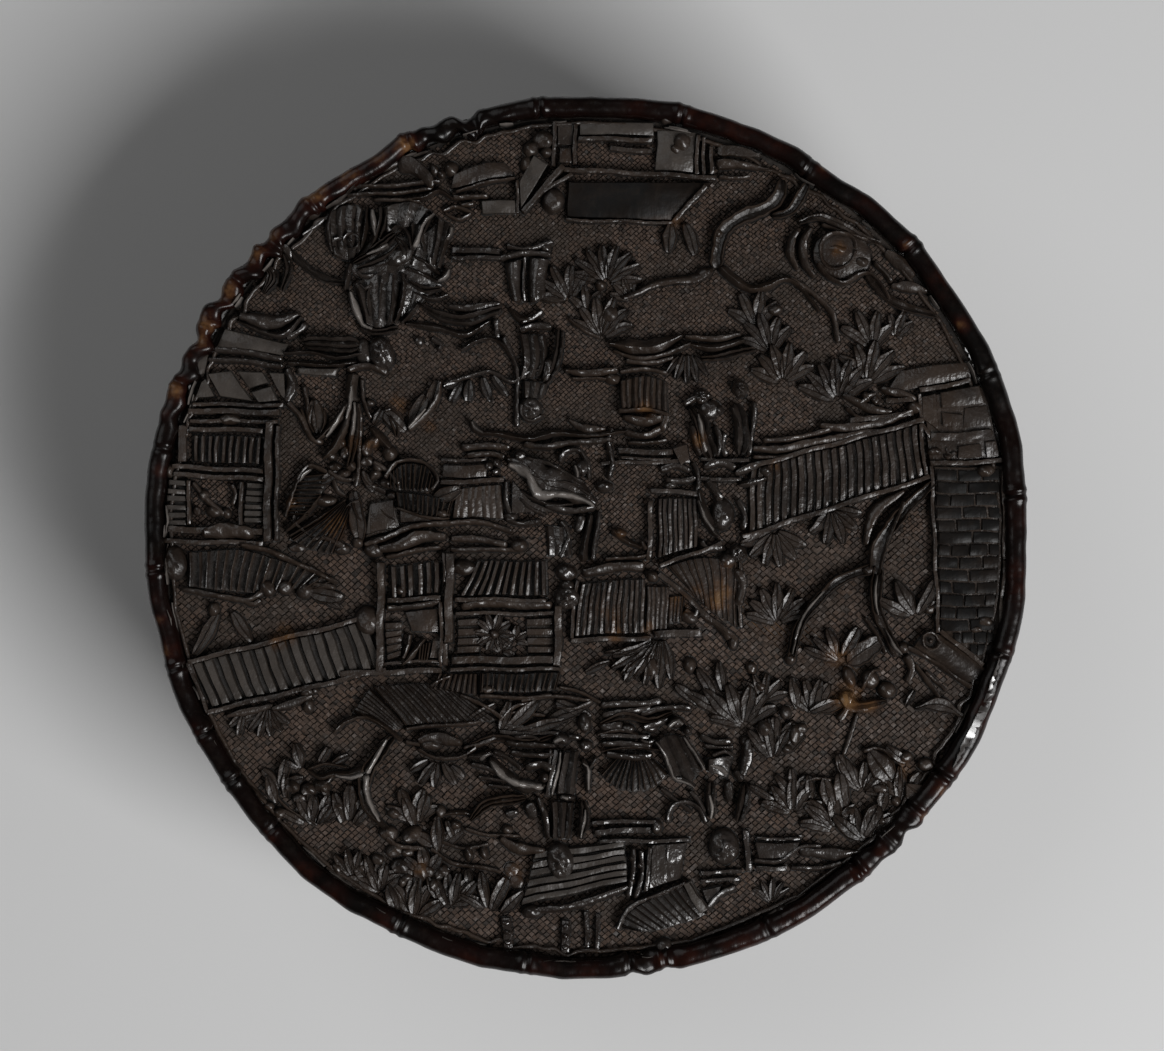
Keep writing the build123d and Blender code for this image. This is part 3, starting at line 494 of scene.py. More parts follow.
def noise(tree, coordinates, size, detail=3.0, rough=0.55, stretch=None):
    # cloudy noise whose clouds are about this many metres across
    if stretch:
        coordinates = node(tree, "ShaderNodeMapping", {0: coordinates, 3: stretch}).outputs[0]
    return node(tree, "ShaderNodeTexNoise", {"Vector": coordinates, "Scale": 1 / size,
                                             "Detail": detail, "Roughness": rough}).outputs[0]


# What every finish shares: sizes and depths of its finest marks in metres, and the index of refraction
fine = dict(
    grain=0.0012, patch=0.0035, scratch=0.0009, tooledDeep=0.0004, scratchDeep=0.0001, index=1.55)


def shellMaterial(name, look):
    # colour and roughness run from recess to crest by the lift attribute, the colour darkening into the
    # recesses as painted shade and lightening on the crests as painted light; noise mottles, patches glow
    material = bpy.data.materials.new(name)
    material.use_nodes = True
    tree = material.node_tree
    tree.nodes.clear()
    place = node(tree, "ShaderNodeTexCoord").outputs["Object"]
    lift = node(tree, "ShaderNodeAttribute", attribute_name="lift").outputs["Fac"]
    amber = node(tree, "ShaderNodeAttribute", attribute_name="amber").outputs["Fac"]
    # painted shade low down and painted light on the crests, by the lift
    crest = ramp(tree, lift, look["shadedColourByLift"])
    clouds = noise(tree, place, look["mottleSize"], 4.0, 0.6)
    mottled = blend(tree, ramp(tree, clouds, ((0.42, grey(0)), (0.68, grey(1)))), crest, look["mottle"])
    dirt = noise(tree, place, look["dirtSize"], 5.0, 0.7)
    dusty = blend(tree, ramp(tree, dirt, ((0.5, grey(0)), (0.8, grey(look["dirtShare"])))), mottled,
                  look["dirt"])
    grain = ramp(tree, noise(tree, place, fine["grain"]), ((0.3, grey(0.35)), (0.65, grey(1.0))))
    glow = node(tree, "ShaderNodeMath", {0: amber, 1: grain}, operation="MULTIPLY").outputs[0]
    colour = blend(tree, ramp(tree, glow, ((0.04, grey(0)), (0.3, grey(1)))), dusty,
                   ramp(tree, glow, look["glow"]))
    rough = ramp(tree, lift, look["roughByLift"])
    patchy = ramp(tree, noise(tree, place, fine["patch"]), ((0.3, grey(0.75)), (0.7, grey(1.25))))
    roughness = node(tree, "ShaderNodeMath", {0: rough, 1: patchy}, operation="MULTIPLY").outputs[0]
    waves = noise(tree, place, look["tooledSize"], 2.0)
    scratches = noise(tree, place, fine["scratch"], 3.0, 0.6, (1.0, 0.16, 1.0))
    bump = node(tree, "ShaderNodeBump",
                {"Height": waves, "Strength": look["tooled"], "Distance": fine["tooledDeep"]})
    bump = node(tree, "ShaderNodeBump",
                {"Height": scratches, "Strength": look["scratched"], "Distance": fine["scratchDeep"],
                                         "Normal": bump.outputs[0]})
    shader = node(tree, "ShaderNodeBsdfPrincipled", {
        "Base Color": colour, "Roughness": roughness, "Normal": bump.outputs[0],
        "IOR": fine["index"], "Specular IOR Level": look["sheen"]})
    node(tree, "ShaderNodeOutputMaterial", {0: shader.outputs[0]})
    return material


amberGlow = (
    (0.1, (0.022, 0.011, 0.006)), (0.45, (0.06, 0.029, 0.011)), (0.9, (0.15, 0.083, 0.034)))
redGlow = (
    (0.1, (0.006, 0.0014, 0.001)), (0.4, (0.0135, 0.0038, 0.0023)), (0.65, (0.046, 0.0198, 0.0088)),
    (0.95, (0.105, 0.052, 0.022)))
# each look's colour by lift: darkest at lift 0 as painted shade in the cuts and feet, lightest at the
# crest as painted light
carvedLook = dict(
    shadedColourByLift=((0.0, (0.0022, 0.0015, 0.0011)), (0.25, (0.008, 0.0053, 0.0038)),
        (0.6, (0.0147, 0.0096, 0.0068)), (1.0, (0.0258, 0.0172, 0.0124))),
    mottleSize=0.006, mottle=(0.0085, 0.0054, 0.0038), dirtSize=0.0016, dirtShare=0.5,
    dirt=(0.038, 0.027, 0.0195), glow=amberGlow,
    roughByLift=((0.0, grey(0.5)), (0.5, grey(0.42)), (1.0, grey(0.37))), tooledSize=0.0007, tooled=0.32,
    scratched=0.7, sheen=0.42)
glossLook = dict(
    carvedLook,
    shadedColourByLift=((0.0, (0.002, 0.0015, 0.0012)), (0.5, (0.01, 0.0074, 0.006)), (1.0, (0.02, 0.0154, 0.0129))),
    dirtShare=0.3, roughByLift=((0.0, grey(0.4)), (1.0, grey(0.28))), tooled=0.34, scratched=0.55,
    sheen=0.62)
# pale crest, partly rubbed wear and partly a painted highlight where the lamp's shine would fall
wornAndHighlightLook = dict(
    carvedLook,
    shadedColourByLift=((0.0, (0.004, 0.003, 0.0024)), (0.4, (0.03, 0.0255, 0.0222)), (0.9, (0.15, 0.134, 0.122))),
    dirtShare=0.3, roughByLift=((0.0, grey(0.5)), (1.0, grey(0.3))), tooled=0.25, scratched=0.4,
    sheen=0.6)
slickLook = dict(
    glossLook, dirtShare=0.0, roughByLift=((0.0, grey(0.3)), (1.0, grey(0.27))), tooled=0.04,
    scratched=0.1, sheen=1.0)
# paler boards, their light colour partly a painted sheen standing in for the lamp's reflection off flat
# panels
boardSheenLook = dict(
    shadedColourByLift=((0.0, (0.003, 0.0023, 0.0018)), (0.4, (0.0115, 0.0087, 0.0069)),
        (0.85, (0.029, 0.0236, 0.0196)), (1.0, (0.043, 0.036, 0.031))),
    mottleSize=0.004, mottle=(0.021, 0.017, 0.0142), dirtSize=0.0012, dirtShare=0.5,
    dirt=(0.06, 0.049, 0.04), glow=amberGlow, roughByLift=((0.0, grey(0.6)), (1.0, grey(0.38))),
    tooledSize=0.0009, tooled=0.3, scratched=0.5, sheen=0.35)
blackLook = dict(
    carvedLook, shadedColourByLift=((0.0, (0.002, 0.0016, 0.0013)), (1.0, (0.0058, 0.0054, 0.0052))), dirtShare=0.25,
    roughByLift=((0.0, grey(0.5)), (1.0, grey(0.4))), tooled=0.1, scratched=0.35, sheen=0.12)
groundLook = dict(
    shadedColourByLift=((0.0, (0.0035, 0.0024, 0.0018)), (0.3, (0.014, 0.0103, 0.008)),
        (0.65, (0.041, 0.0262, 0.019)), (1.0, (0.063, 0.0414, 0.0302))),
    mottleSize=0.007, mottle=(0.0225, 0.0156, 0.0113), dirtSize=0.0022, dirtShare=0.35,
    dirt=(0.05, 0.038, 0.028), glow=amberGlow, roughByLift=((0.0, grey(0.7)), (1.0, grey(0.48))),
    tooledSize=0.0008, tooled=0.25, scratched=0.2, sheen=0.25)
bambooLook = dict(
    shadedColourByLift=((0.0, (0.001, 0.0006, 0.0005)), (1.0, (0.0018, 0.0011, 0.0009))), mottleSize=0.009,
    mottle=(0.0042, 0.0014, 0.001), dirtSize=0.0014, dirtShare=0.35, dirt=(0.018, 0.0125, 0.0095),
    glow=redGlow, roughByLift=((0.0, grey(0.4)), (1.0, grey(0.27))), tooledSize=0.0018, tooled=0.3,
    scratched=0.4, sheen=0.18)
wallLook = dict(groundLook, shadedColourByLift=((0.0, (0.006, 0.0042, 0.0032)), (1.0, (0.03, 0.0225, 0.018))))
polishedLook = dict(
    shadedColourByLift=((0.0, (0.105, 0.038, 0.011)), (1.0, (0.105, 0.038, 0.011))), mottleSize=0.013,
    mottle=(0.014, 0.005, 0.0025), dirtSize=0.004, dirtShare=0.35, dirt=(0.035, 0.012, 0.004),
    glow=amberGlow, roughByLift=((0.0, grey(0.16)), (1.0, grey(0.16))), tooledSize=0.006, tooled=0.04,
    scratched=0.06, sheen=0.5)
carvedShell = shellMaterial("carvedShell", carvedLook)
glossShell = shellMaterial("glossShell", glossLook)
wornAndHighlightShell = shellMaterial("wornAndHighlightShell", wornAndHighlightLook)
slickShell = shellMaterial("slickShell", slickLook)
boardSheenShell = shellMaterial("boardSheenShell", boardSheenLook)
blackShell = shellMaterial("blackShell", blackLook)
groundShell = shellMaterial("groundShell", groundLook)
bambooShell = shellMaterial("bambooShell", bambooLook)
wallShell = shellMaterial("wallShell", wallLook)
polishedShell = shellMaterial("polishedShell", polishedLook)
print("materials made")


# Lid ground: a thin plate crossed by fine cuts that leave small diamond-shaped pads
ground = dict(
    diamond=(7.4, 6.5), fineDiamond=(5.5, 4.9), rise=0.13, low=0.14, radius=419.0, plateRadius=42.3)
# One pad: foot and top as shares of its diamond, heave and tilt of its rise; sunk and least in mm
pad = dict(
    foot=0.98, footVaries=0.02, top=0.75, topVaries=0.08, topLimits=(0.5, 0.9), heave=0.22, tilt=0.2,
    shift=0.06, sunk=0.16, least=0.02, tone=0.72, toneVaries=0.2, toneLimits=(0.3, 1))


def plateShell(radius, low, high, turns=128):
    # a flat disc as rings from the bottom's edge to the top's middle
    r = np.array([0.35 * radius, radius - 0.1 * mm, radius, radius, radius - 0.1 * mm, 0.35 * radius])
    z = np.array([low, low, low + 0.1 * mm, high - 0.1 * mm, high, high])
    a = np.linspace(0, 2 * math.pi, turns + 1)[:-1]
    rings = np.stack([r[:, None] * np.cos(a), r[:, None] * np.sin(a), np.repeat(z[:, None], turns, 1)],
                     -1)
    return closedRings(rings, np.full((len(r), turns), 0.1))


def padLattice(columns, rows, w, h):
    # middles of staggered diamonds
    j, i = np.meshgrid(np.arange(rows), np.arange(columns), indexing="ij")
    return ((i + 0.5 * (j % 2)) * w).ravel(), (j * h / 2).ravel()


def padField(x, y, w, h, rise, seed):
    # four-sided pads with sloping sides, each of its own size, tilt and height; their feet at lift 0 paint
    # the cuts between them dark as shade, their tops a random tone
    chance = np.random.default_rng(seed)
    n = len(x)
    cx = np.array([-0.5, 0, 0.5, 0]) * w
    cy = np.array([0, -0.5, 0, 0.5]) * h
    big = pad["foot"] + pad["footVaries"] * chance.standard_normal((n, 1))
    small = np.clip(pad["top"] + pad["topVaries"] * chance.standard_normal((n, 4)), *pad["topLimits"])
    heave = pad["heave"] * chance.standard_normal((n, 1))
    top = rise * (1 + heave + pad["tilt"] * chance.standard_normal((n, 4)))
    shift = pad["shift"] * chance.standard_normal((n, 2, 1)) * w
    base = np.stack([x[:, None] + big * cx, y[:, None] + big * cy, np.full((n, 4), -pad["sunk"])], -1)
    lid = np.stack([x[:, None] + small * cx + shift[:, 0], y[:, None] + small * cy + shift[:, 1],
                    np.maximum(top, pad["least"]) - ground["low"]], -1)
    points = np.concatenate([base, lid], 1).reshape(-1, 3)
    one = np.array([(0, 1, 5, 4), (1, 2, 6, 5), (2, 3, 7, 6), (3, 0, 4, 7), (4, 5, 6, 7), (3, 2, 1, 0)])
    quads = (np.arange(n)[:, None, None] * 8 + one[None]).reshape(-1, 4)
    tone = np.clip(pad["tone"] + pad["toneVaries"] * chance.standard_normal(n), *pad["toneLimits"])
    # feet at lift 0: painted shade in the cuts; tops: random tone
    lifts = np.stack([np.zeros((n, 4)), np.repeat(tone[:, None], 4, 1)], 1).reshape(-1)
    return points, quads, np.zeros((0, 3), int), lifts


def lidPads(size, inside, seed):
    # diamonds over the part of the lid that the test gives, their rows swaying as cut by hand
    w, h = ground[size]
    reach = ground["radius"]
    x, y = padLattice(int(2 * reach / w) + 4, int(2 * reach / (h / 2)) + 6, w, h)
    x, y = x - reach - w, y - reach - h
    swayX = 2.6 * np.sin(0.021 * y + 0.7) + 2.2 * np.sin(0.017 * x + 0.012 * y)
    swayY = 2.0 * np.sin(0.019 * x + 0.4) + 1.3 * np.sin(0.037 * y + 0.011 * x)
    x, y = x + swayX, y + swayY
    keep = (np.hypot(x, y) < reach) & inside(x, y)
    x, y = x[keep] + picture["centre"][0], y[keep] + picture["centre"][1]
    return padField(x, y, w, h, ground["rise"], seed)


plate = plateShell(ground["plateRadius"] * mm, wallTop, groundZ - ground["low"] * mm)
plate = (toPicture(plate[0]),) + plate[1:]
lidGround = makePiece("lidGround", [plate], onLid, groundShell, "lid", crease=30,
                      uneven=0, glow=carvingGlow)
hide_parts("lid_carved_plate")
for name, size, inside, seed in (("lidGroundLower", "diamond", lambda x, y: y >= 0, 5),
                                 ("lidGroundLeft", "fineDiamond", lambda x, y: (y < 0) & (x < 0), 3),
                                 ("lidGroundRight", "fineDiamond", lambda x, y: (y < 0) & (x >= 0), 4)):
    makePiece(name, [lidPads(size, inside, seed)], onLid, groundShell, "lid", crease=30,
              uneven=0, glow=carvingGlow)


# Bamboo edgings: canes set end to end, with a pair of swollen lips and a groove at each joint
def outlineRadius(points, theta):
    # where a ray from the middle crosses the straight line between the two outline points beside it
    p = (np.asarray(points, float) - picture["centre"]) * (pixel, -pixel)
    p = p[np.argsort(np.arctan2(p[:, 1], p[:, 0]) % (2 * math.pi))]
    angle = np.arctan2(p[:, 1], p[:, 0]) % (2 * math.pi)
    k = np.searchsorted(angle, theta) % len(p)
    a, d = p[k - 1], p[k] - p[k - 1]
    r = (a[:, 0] * d[:, 1] - a[:, 1] * d[:, 0]) / (np.cos(theta) * d[:, 1] - np.sin(theta) * d[:, 0])
    soft = np.array([1, 2, 3, 4, 3, 2, 1]) / 16
    return np.convolve(np.r_[r[-3:], r, r[:3]], soft, "valid")


def loopQuads(turns, sides):
    # quads between rings of points that close on themselves both ways
    i, j = np.meshgrid(np.arange(turns), np.arange(sides), indexing="ij")
    i2, j2 = (i + 1) % turns, (j + 1) % sides
    return np.stack([i * sides + j, i2 * sides + j, i2 * sides + j2, i * sides + j2], -1).reshape(-1, 4)


def bambooRing(edge, turns=1800, sides=24):
    # an upright ellipse carried round the box inside its outline, swelling at the joints
    theta = np.linspace(0, 2 * math.pi, turns + 1)[:-1]
    joints = np.sort(np.radians(np.mod(edge["joints"], 360)))
    nearest = np.abs((theta[:, None] - joints[None] + math.pi) % (2 * math.pi) - math.pi)
    away = nearest.min(1) * edge["outer"] / mm
    which = nearest.argmin(1)
    size = 1 + 0.35 * np.sin(3.7 * which + 1.0)
    lips = np.exp(-((away - edge["lipAway"]) / edge["lipWide"]) ** 2) * size
    groove = np.exp(-(away / edge["grooveWide"]) ** 2)
    after = np.searchsorted(joints, theta) % len(joints)
    begin, end = joints[after - 1], joints[after]
    span = (end - begin) % (2 * math.pi)
    share = ((theta - begin) % (2 * math.pi)) / span
    sag = edge["outer"] * (1 - np.cos(span / 2)) * 4 * share * (1 - share)
    outer = edge["outer"] - edge["straight"] * sag
    if "outline" in edge:
        outer = outlineRadius(edge["outline"], theta)
    swell = 1 + edge["swell"] * lips - edge["groove"] * groove
    swell -= edge["waist"] * np.sin(math.pi * share) ** 2
    wide = edge["wide"] * swell * (1 + edge["lean"] * np.cos(theta + 0.9))
    tall = edge["tall"] * swell
    chips = 0.55 * np.sin(61 * theta + 0.8 * np.sin(17 * theta)) + 0.35 * np.sin(97 * theta + 1.1)
    chips = chips + 0.22 * np.sin(139 * theta + 0.4)
    wear = np.full(turns, 0.1)
    for at, reach in edge.get("worn", ()):
        gap = np.abs((np.degrees(theta) - at + 180) % 360 - 180)
        wear = np.maximum(wear, np.exp(-(gap / reach) ** 4))
    outer = outer + edge["rough"] * wear * (chips - 0.6)
    wide = wide * (1 + 0.14 * wear * np.sin(89 * theta + 2.0))
    tall = tall * (1 - 0.2 * wear * (1 + np.sin(73 * theta) * np.sin(41 * theta + 1.0)))
    phi = np.linspace(0, 2 * math.pi, sides + 1)[:-1]
    uneven = 1 + 0.024 * np.sin(9 * theta[:, None] + 2 * phi) + 0.012 * np.sin(31 * theta[:, None] + phi)
    uneven = uneven + 0.05 * wear[:, None] * np.sin(70 * theta[:, None] + 2 * phi)
    centre = outer + edge["swell"] * edge["wide"] * lips - wide
    squareCos = np.sign(np.cos(phi)) * np.abs(np.cos(phi)) ** 0.78
    squareSin = np.sign(np.sin(phi)) * np.abs(np.sin(phi)) ** 0.78
    r = centre[:, None] + wide[:, None] * uneven * squareCos
    z = edge["height"] + tall[:, None] * uneven * squareSin
    z = np.clip(z, edge["lowest"], edge["highest"])
    rings = np.stack([r * np.cos(theta)[:, None], r * np.sin(theta)[:, None], z], -1)
    quads = loopQuads(turns, sides)
    lifts = np.repeat((1 - 0.8 * groove)[:, None], sides, 1).ravel()
    return rings.reshape(-1, 3), quads, np.zeros((0, 3), int), lifts


topEdge = dict(
    outline=((540, 95), (590, 95), (640, 97), (680, 101), (720, 114), (760, 128), (800, 147), (812, 157),
        (840, 178), (870, 195), (900, 222), (920, 240), (940, 270), (960, 298), (977, 325), (990, 347),
        (1004, 382), (1016, 420), (1022, 445), (1026, 500), (1026, 560), (1025, 600), (1019, 634),
        (1013, 655), (995, 702), (980, 740), (965, 765), (940, 797), (916, 827), (886, 860), (866, 877),
        (845, 892), (820, 911), (800, 924), (780, 934), (757, 944), (720, 957), (680, 968), (650, 973),
        (610, 978), (560, 979), (520, 973), (480, 967), (440, 954), (400, 936), (380, 926), (350, 912),
        (300, 877), (265, 839), (250, 822), (225, 788), (200, 748), (180, 712), (168, 681), (155, 627),
        (147, 600), (143, 560), (143, 500), (147, 460), (152, 444), (158, 411), (165, 394), (169, 377),
        (179, 360), (186, 345), (197, 340), (190, 326), (202, 305), (214, 295), (224, 280), (232, 266),
        (245, 259), (250, 242), (264, 243), (268, 228), (280, 219), (295, 203), (306, 193), (330, 178),
        (350, 166), (372, 155), (400, 131), (415, 128), (430, 120), (450, 114), (461, 117), (482, 106),
        (520, 98)),
    joints=(96, 77, 58.7, 41.7, 22.1, 5.6, -15.6, -33.6, -39.5, -44.8, -50.4, -65, -79.3, -83.9, -97.7,
        -115.5, -137, -145.4, -152.8, -162.3, -175.7, 168.1, 159, 150.5, 143.5, 136.5, 129, 114, 104.8),
    outer=44.0 * mm, height=28.5 * mm, wide=1.08 * mm, tall=1.5 * mm, lowest=27.05 * mm,
    highest=30.1 * mm, lipAway=0.5, lipWide=0.32, grooveWide=0.2, swell=0.08, groove=0.09, waist=0.04,
    straight=0.55, lean=0.07, rough=0.26 * mm, worn=((146, 19), (108, 6), (-81, 4), (-44, 5)))
rimGlow = (
    ((310, 190), 18, 1.35), ((345, 172), 18, 1.0), ((405, 145), 14, 1.2), ((250, 250), 16, 1.2),
    ((375, 155), 15, 0.8), ((268, 232), 13, 0.95), ((225, 290), 16, 1.15), ((205, 322), 14, 1.1),
    ((172, 388), 15, 1.05), ((200, 340), 12, 0.9), ((167, 650), 12, 0.7), ((160, 620), 9, 0.6),
    ((160, 470), 8, 0.5), ((907, 245), 8, 0.8), ((960, 325), 9, 0.8), ((825, 168), 10, 0.65),
    ((940, 790), 12, 0.7), ((922, 815), 10, 0.75), ((880, 850), 9, 0.5), ((290, 210), 12, 0.6),
    ((1022, 580), 30, 0.4), ((700, 104), 30, 0.45), ((740, 118), 30, 0.48), ((780, 134), 26, 0.45),
    ((640, 97), 24, 0.35), ((990, 715), 26, 0.4), ((962, 768), 16, 0.5), ((860, 880), 24, 0.42),
    ((800, 924), 26, 0.48), ((830, 905), 20, 0.4), ((745, 948), 28, 0.48), ((690, 964), 26, 0.42),
    ((300, 875), 20, 0.42), ((330, 900), 20, 0.4), ((590, 978), 24, 0.35), ((470, 962), 22, 0.35),
    ((190, 735), 14, 0.4), ((145, 570), 18, 0.36), ((270, 838), 10, 0.5), ((382, 925), 18, 0.4),
    ((1012, 650), 9, 0.45), ((660, 960), 9, 0.6), ((870, 200), 22, 0.3), ((945, 280), 22, 0.34),
    ((235, 272), 10, 0.6), ((150, 600), 12, 0.4), ((185, 355), 10, 0.6), ((160, 410), 12, 0.5),
    ((540, 972), 20, 0.36), ((1024, 520), 20, 0.3))
lidTopEdge = makePiece("lidTopEdge", [bambooRing(topEdge)], asIs, bambooShell, "lid",
                       crease=60, uneven=0, glow=rimGlow)
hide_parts("lid_top_edging")

# Raised line inside the edging, in nearly straight lengths
borderLine = dict(
    joints=(106, 97.5, 90.5, 84, 74.5, 69, 58, 49, 40.5, 31, 23.5, 14, 3, -8, -17, -27, -34, -46, -59,
        -75, -92, -103, -116, -127, -137, -147, -158, -170, 176, 165, 152, 140, 128, 117),
    outer=41.75 * mm, height=groundZ + 0.26 * mm, wide=0.22 * mm, tall=0.34 * mm,
    lowest=groundZ - 0.4 * mm, highest=groundZ + 0.9 * mm, lipAway=0.35, lipWide=0.2, grooveWide=0.16,
    swell=0.1, groove=0.25, waist=0.0, straight=0.7, lean=0.0, rough=0.34 * mm,
    worn=((146, 24), (108, 8), (60, 10), (-30, 12), (-100, 14)))
makePiece("lidBorderLine", [bambooRing(borderLine, turns=960, sides=12)], asIs, carvedShell, "lid",
          crease=60, uneven=0)


def lidMotif(name, motif, material=carvedShell):
    # a motif's forms as one piece on the lid
    makePiece(name, carve(motif), onLid, material, "lid", glow=carvingGlow)


# Top terrace: a polished floor in a frame, with bench, screen and seated boy
terraceFloor = dict(plates=(((567, 180, 711, 181), (567, 216, 674, 220), 0.72),))
lidMotif("lidTerraceFloor", terraceFloor, blackShell)
terrace = dict(
    bars=(
        (563, 168, 716, 177, 5, 1.05), (706, 184, 674, 222, 5, 1.1), (566, 219, 675, 222, 3, 0.95),
        (564, 164, 522, 211, 6, 1.2), (572, 172, 540, 192, 4, 0.9), (517, 178, 517, 212, 3, 1.0),
        (554, 120, 554, 166, 4, 0.9), (575, 122, 575, 163, 4, 0.9), (578, 137, 652, 139, 5, 0.95),
        (611, 147, 652, 150, 5, 0.8), (698, 133, 697, 173, 4, 0.95), (704, 135, 704, 175, 3.5, 0.8),
        (712, 145, 712, 173, 4, 0.95)),
    plates=(
        ((557, 122, 573, 122), (557, 143, 573, 143), 0.5),
        ((560, 146, 572, 146), (560, 161, 572, 161), 0.65)),
    slab=(((718, 150, 738, 150, 762, 154), (12, 12, 3), 0.6),),
    bead=(((718, 176, 735, 178, 750, 176), 4, 0.7), ((716, 164, 738, 164, 770, 168), (11, 9, 2), 1.0)),
    knobs=(
        (553, 200, 12, 13, 1.2), (543, 139, 12, 10, 1.25), (530, 148, 8, 8, 1.1), (547, 151, 7, 6, 1.1),
        (527, 163, 7, 9, 0.8), (682, 141, 10, 10, 1.25), (676, 148, 7, 6, 1.0), (464, 124, 6, 7, 1.0),
        (477, 122, 5, 5, 0.9), (486, 120, 4, 4, 0.9), (667, 117, 7, 7, 1.3)),
)
lidMotif("lidTerrace", terrace)
# pale flat panels: their paleness is a painted sheen
paleTerrace = dict(
    plates=(
        ((519, 180, 534, 154), (520, 208, 549, 163), (0.75, 1.0)),
        ((657, 129, 696, 131), (656, 170, 694, 171), 0.68),
        ((481, 200, 515, 199), (483, 213, 516, 212), 0.8),
        ((579, 121, 654, 121), (579, 133, 654, 134), 0.6),
        ((370, 504, 393, 503), (364, 538, 399, 526), 0.5)),
)
lidMotif("lidPaleTerrace", paleTerrace, boardSheenShell)

# Rocks and planks at the upper left
upperLeftRocks = dict(
    bead=(
        ((396, 160, 412, 165, 424, 175, 431, 188), (18, 17, 14, 6), 1.2),
        ((350, 188, 374, 172, 400, 160), 6, 0.8), ((345, 186, 400, 183, 440, 180), 4.5, 0.8),
        ((345, 194, 395, 191, 432, 188), 4, 0.8), ((455, 190, 485, 182, 516, 176), (3, 4, 3), 1.15),
        ((443, 211, 456, 205, 472, 211), 4, 0.8), ((444, 212, 458, 218, 472, 212), 4, 0.8),
        ((372, 199, 400, 198, 420, 201), 4, 0.9), ((452, 196, 470, 195, 488, 196), 5, 0.8),
        ((460, 204, 475, 202), 5, 0.7)),
    ridge=(((405, 197, 425, 196, 438, 189, 453, 197), (3, 5, 6, 4), 1.1),),
    panels=(
        ((452, 172, 480, 163, 503, 160, 514, 170), (450, 187, 478, 181, 505, 175, 515, 177), 0.95,
            "bead"),),
    knobs=(
        (450, 167, 8, 8, 1.1), (433, 168, 5, 6, 0.7), (440, 172, 5, 5, 0.7), (312, 212, 9, 6, 1.1, 30)),
)
lidMotif("lidUpperLeftRocks", upperLeftRocks)

# Tall figure at the upper left, head downwards in the picture
robedFigure = dict(
    panels=(
        ((328, 213, 341, 204, 355, 204, 365, 211), (331, 250, 340, 258, 352, 258, 362, 247), 0.95,
            "fiveFolds", -2), ((381, 207, 402, 200, 420, 203, 434, 213),
            (385, 233, 396, 227, 408, 225, 421, 222), (1.15, 0.95), "threeFolds"),
        ((410, 224, 422, 214, 434, 214), (410, 246, 414, 250, 419, 240), 1.0, "trough"),
        ((352, 285, 368, 275, 384, 270, 402, 273), (364, 322, 374, 328, 384, 327, 394, 322), (0.8, 1.1),
            "threeFolds"), ((437, 216, 452, 224), (431, 262, 441, 268), 1.1, "twoFolds"),
        ((360, 248, 384, 234, 410, 238, 433, 258), (347, 268, 366, 280, 400, 282, 432, 284), 0.72,
            "threeFolds"), ((416, 238, 438, 222), (408, 264, 438, 270), 0.66, "twoFolds"),
        ((403, 272, 442, 283), (397, 318, 424, 300), 0.55, "threeFolds")),
    bead=(
        ((331, 208, 326, 228, 331, 251), (3, 5, 3), 1.0),
        ((332, 238, 338, 237, 343, 239), (3, 5, 3), 1.2),
        ((359, 283, 364, 289, 372, 284), (3, 5, 3), 1.25),
        ((356, 270, 362, 276, 374, 274), (4, 6, 3), 1.0), ((300, 235, 318, 222, 330, 212), 4, 0.6),
        ((276, 243, 284, 248, 290, 258), (5, 9, 4), 1.0)),
    ridge=(
        ((366, 205, 365, 226, 359, 248), (3, 6, 4), 1.15),
        ((379, 205, 379, 222, 371, 244, 358, 258), (4, 7, 6, 3), 1.2),
        ((386, 207, 385, 221, 379, 238), (3, 5, 3), 1.2),
        ((391, 229, 398, 224, 405, 228, 409, 240, 410, 251), (4, 5, 5, 5, 3), 1.4),
        ((423, 226, 420, 238, 424, 252), (4, 7, 5), 1.0),
        ((412, 256, 426, 262, 440, 273), (4, 7, 4), 1.1),
        ((404, 267, 424, 274, 438, 281), (4, 7, 4), 1.0),
        ((412, 292, 430, 298, 448, 293), (3, 7, 4), 0.85),
        ((402, 272, 404, 286, 400, 304, 394, 322), (4, 6, 6, 3), 1.4),
        ((393, 273, 392, 297, 387, 322), (3, 5, 3), 1.35),
        ((382, 275, 379, 299, 377, 322), (3, 5, 3), 1.2),
        ((371, 280, 366, 300, 369, 318), (3, 5, 3), 1.1),
        ((418, 303, 410, 312, 400, 322), (4, 6, 4), 1.0),
        ((350, 262, 347, 276, 343, 290), (4, 7, 5), 1.0),
        ((281, 352, 310, 352, 335, 356, 361, 353), (4, 5, 5, 4), 1.2),
        ((285, 362, 320, 364, 356, 362), 6, 0.95)),
    swell=(((333, 244, 336, 252, 343, 257), (4, 8, 4), 1.15),),
    threeFolds=(
        ((395, 232, 378, 246, 352, 263), (8, 11, 5), 1.3),
        ((301, 343, 330, 343, 360, 344), (12, 17, 17), 1.35)),
    twoFolds=(
        ((400, 242, 384, 257, 356, 269), (6, 10, 4), 1.1),
        ((395, 236, 402, 245, 404, 257), (5, 9, 5), 1.2),
        ((408, 281, 424, 289, 440, 286), (4, 8, 4), 0.95), ((358, 325, 375, 332, 398, 327), 7, 1.2),
        ((282, 252, 288, 268, 280, 290), (4, 9, 4), 0.9)),
    trough=(((288, 248, 301, 262, 322, 276, 346, 283), (5, 8, 7, 4), 1.0),),
    fiveFolds=(((262, 262, 272, 275, 262, 292), (4, 14, 5), 0.8),),
    rings=((350, 240, 8, 3, 1.25),),
    knobs=((350, 240, 3, 3, 1.2), (363, 352, 9, 15, 0.9), (398, 255, 17, 11, 1.12, 25)),
    heads=((381, 353, 13, 17, 1.55, -80),),
)
lidMotif("lidRobedFigure", robedFigure, glossShell)
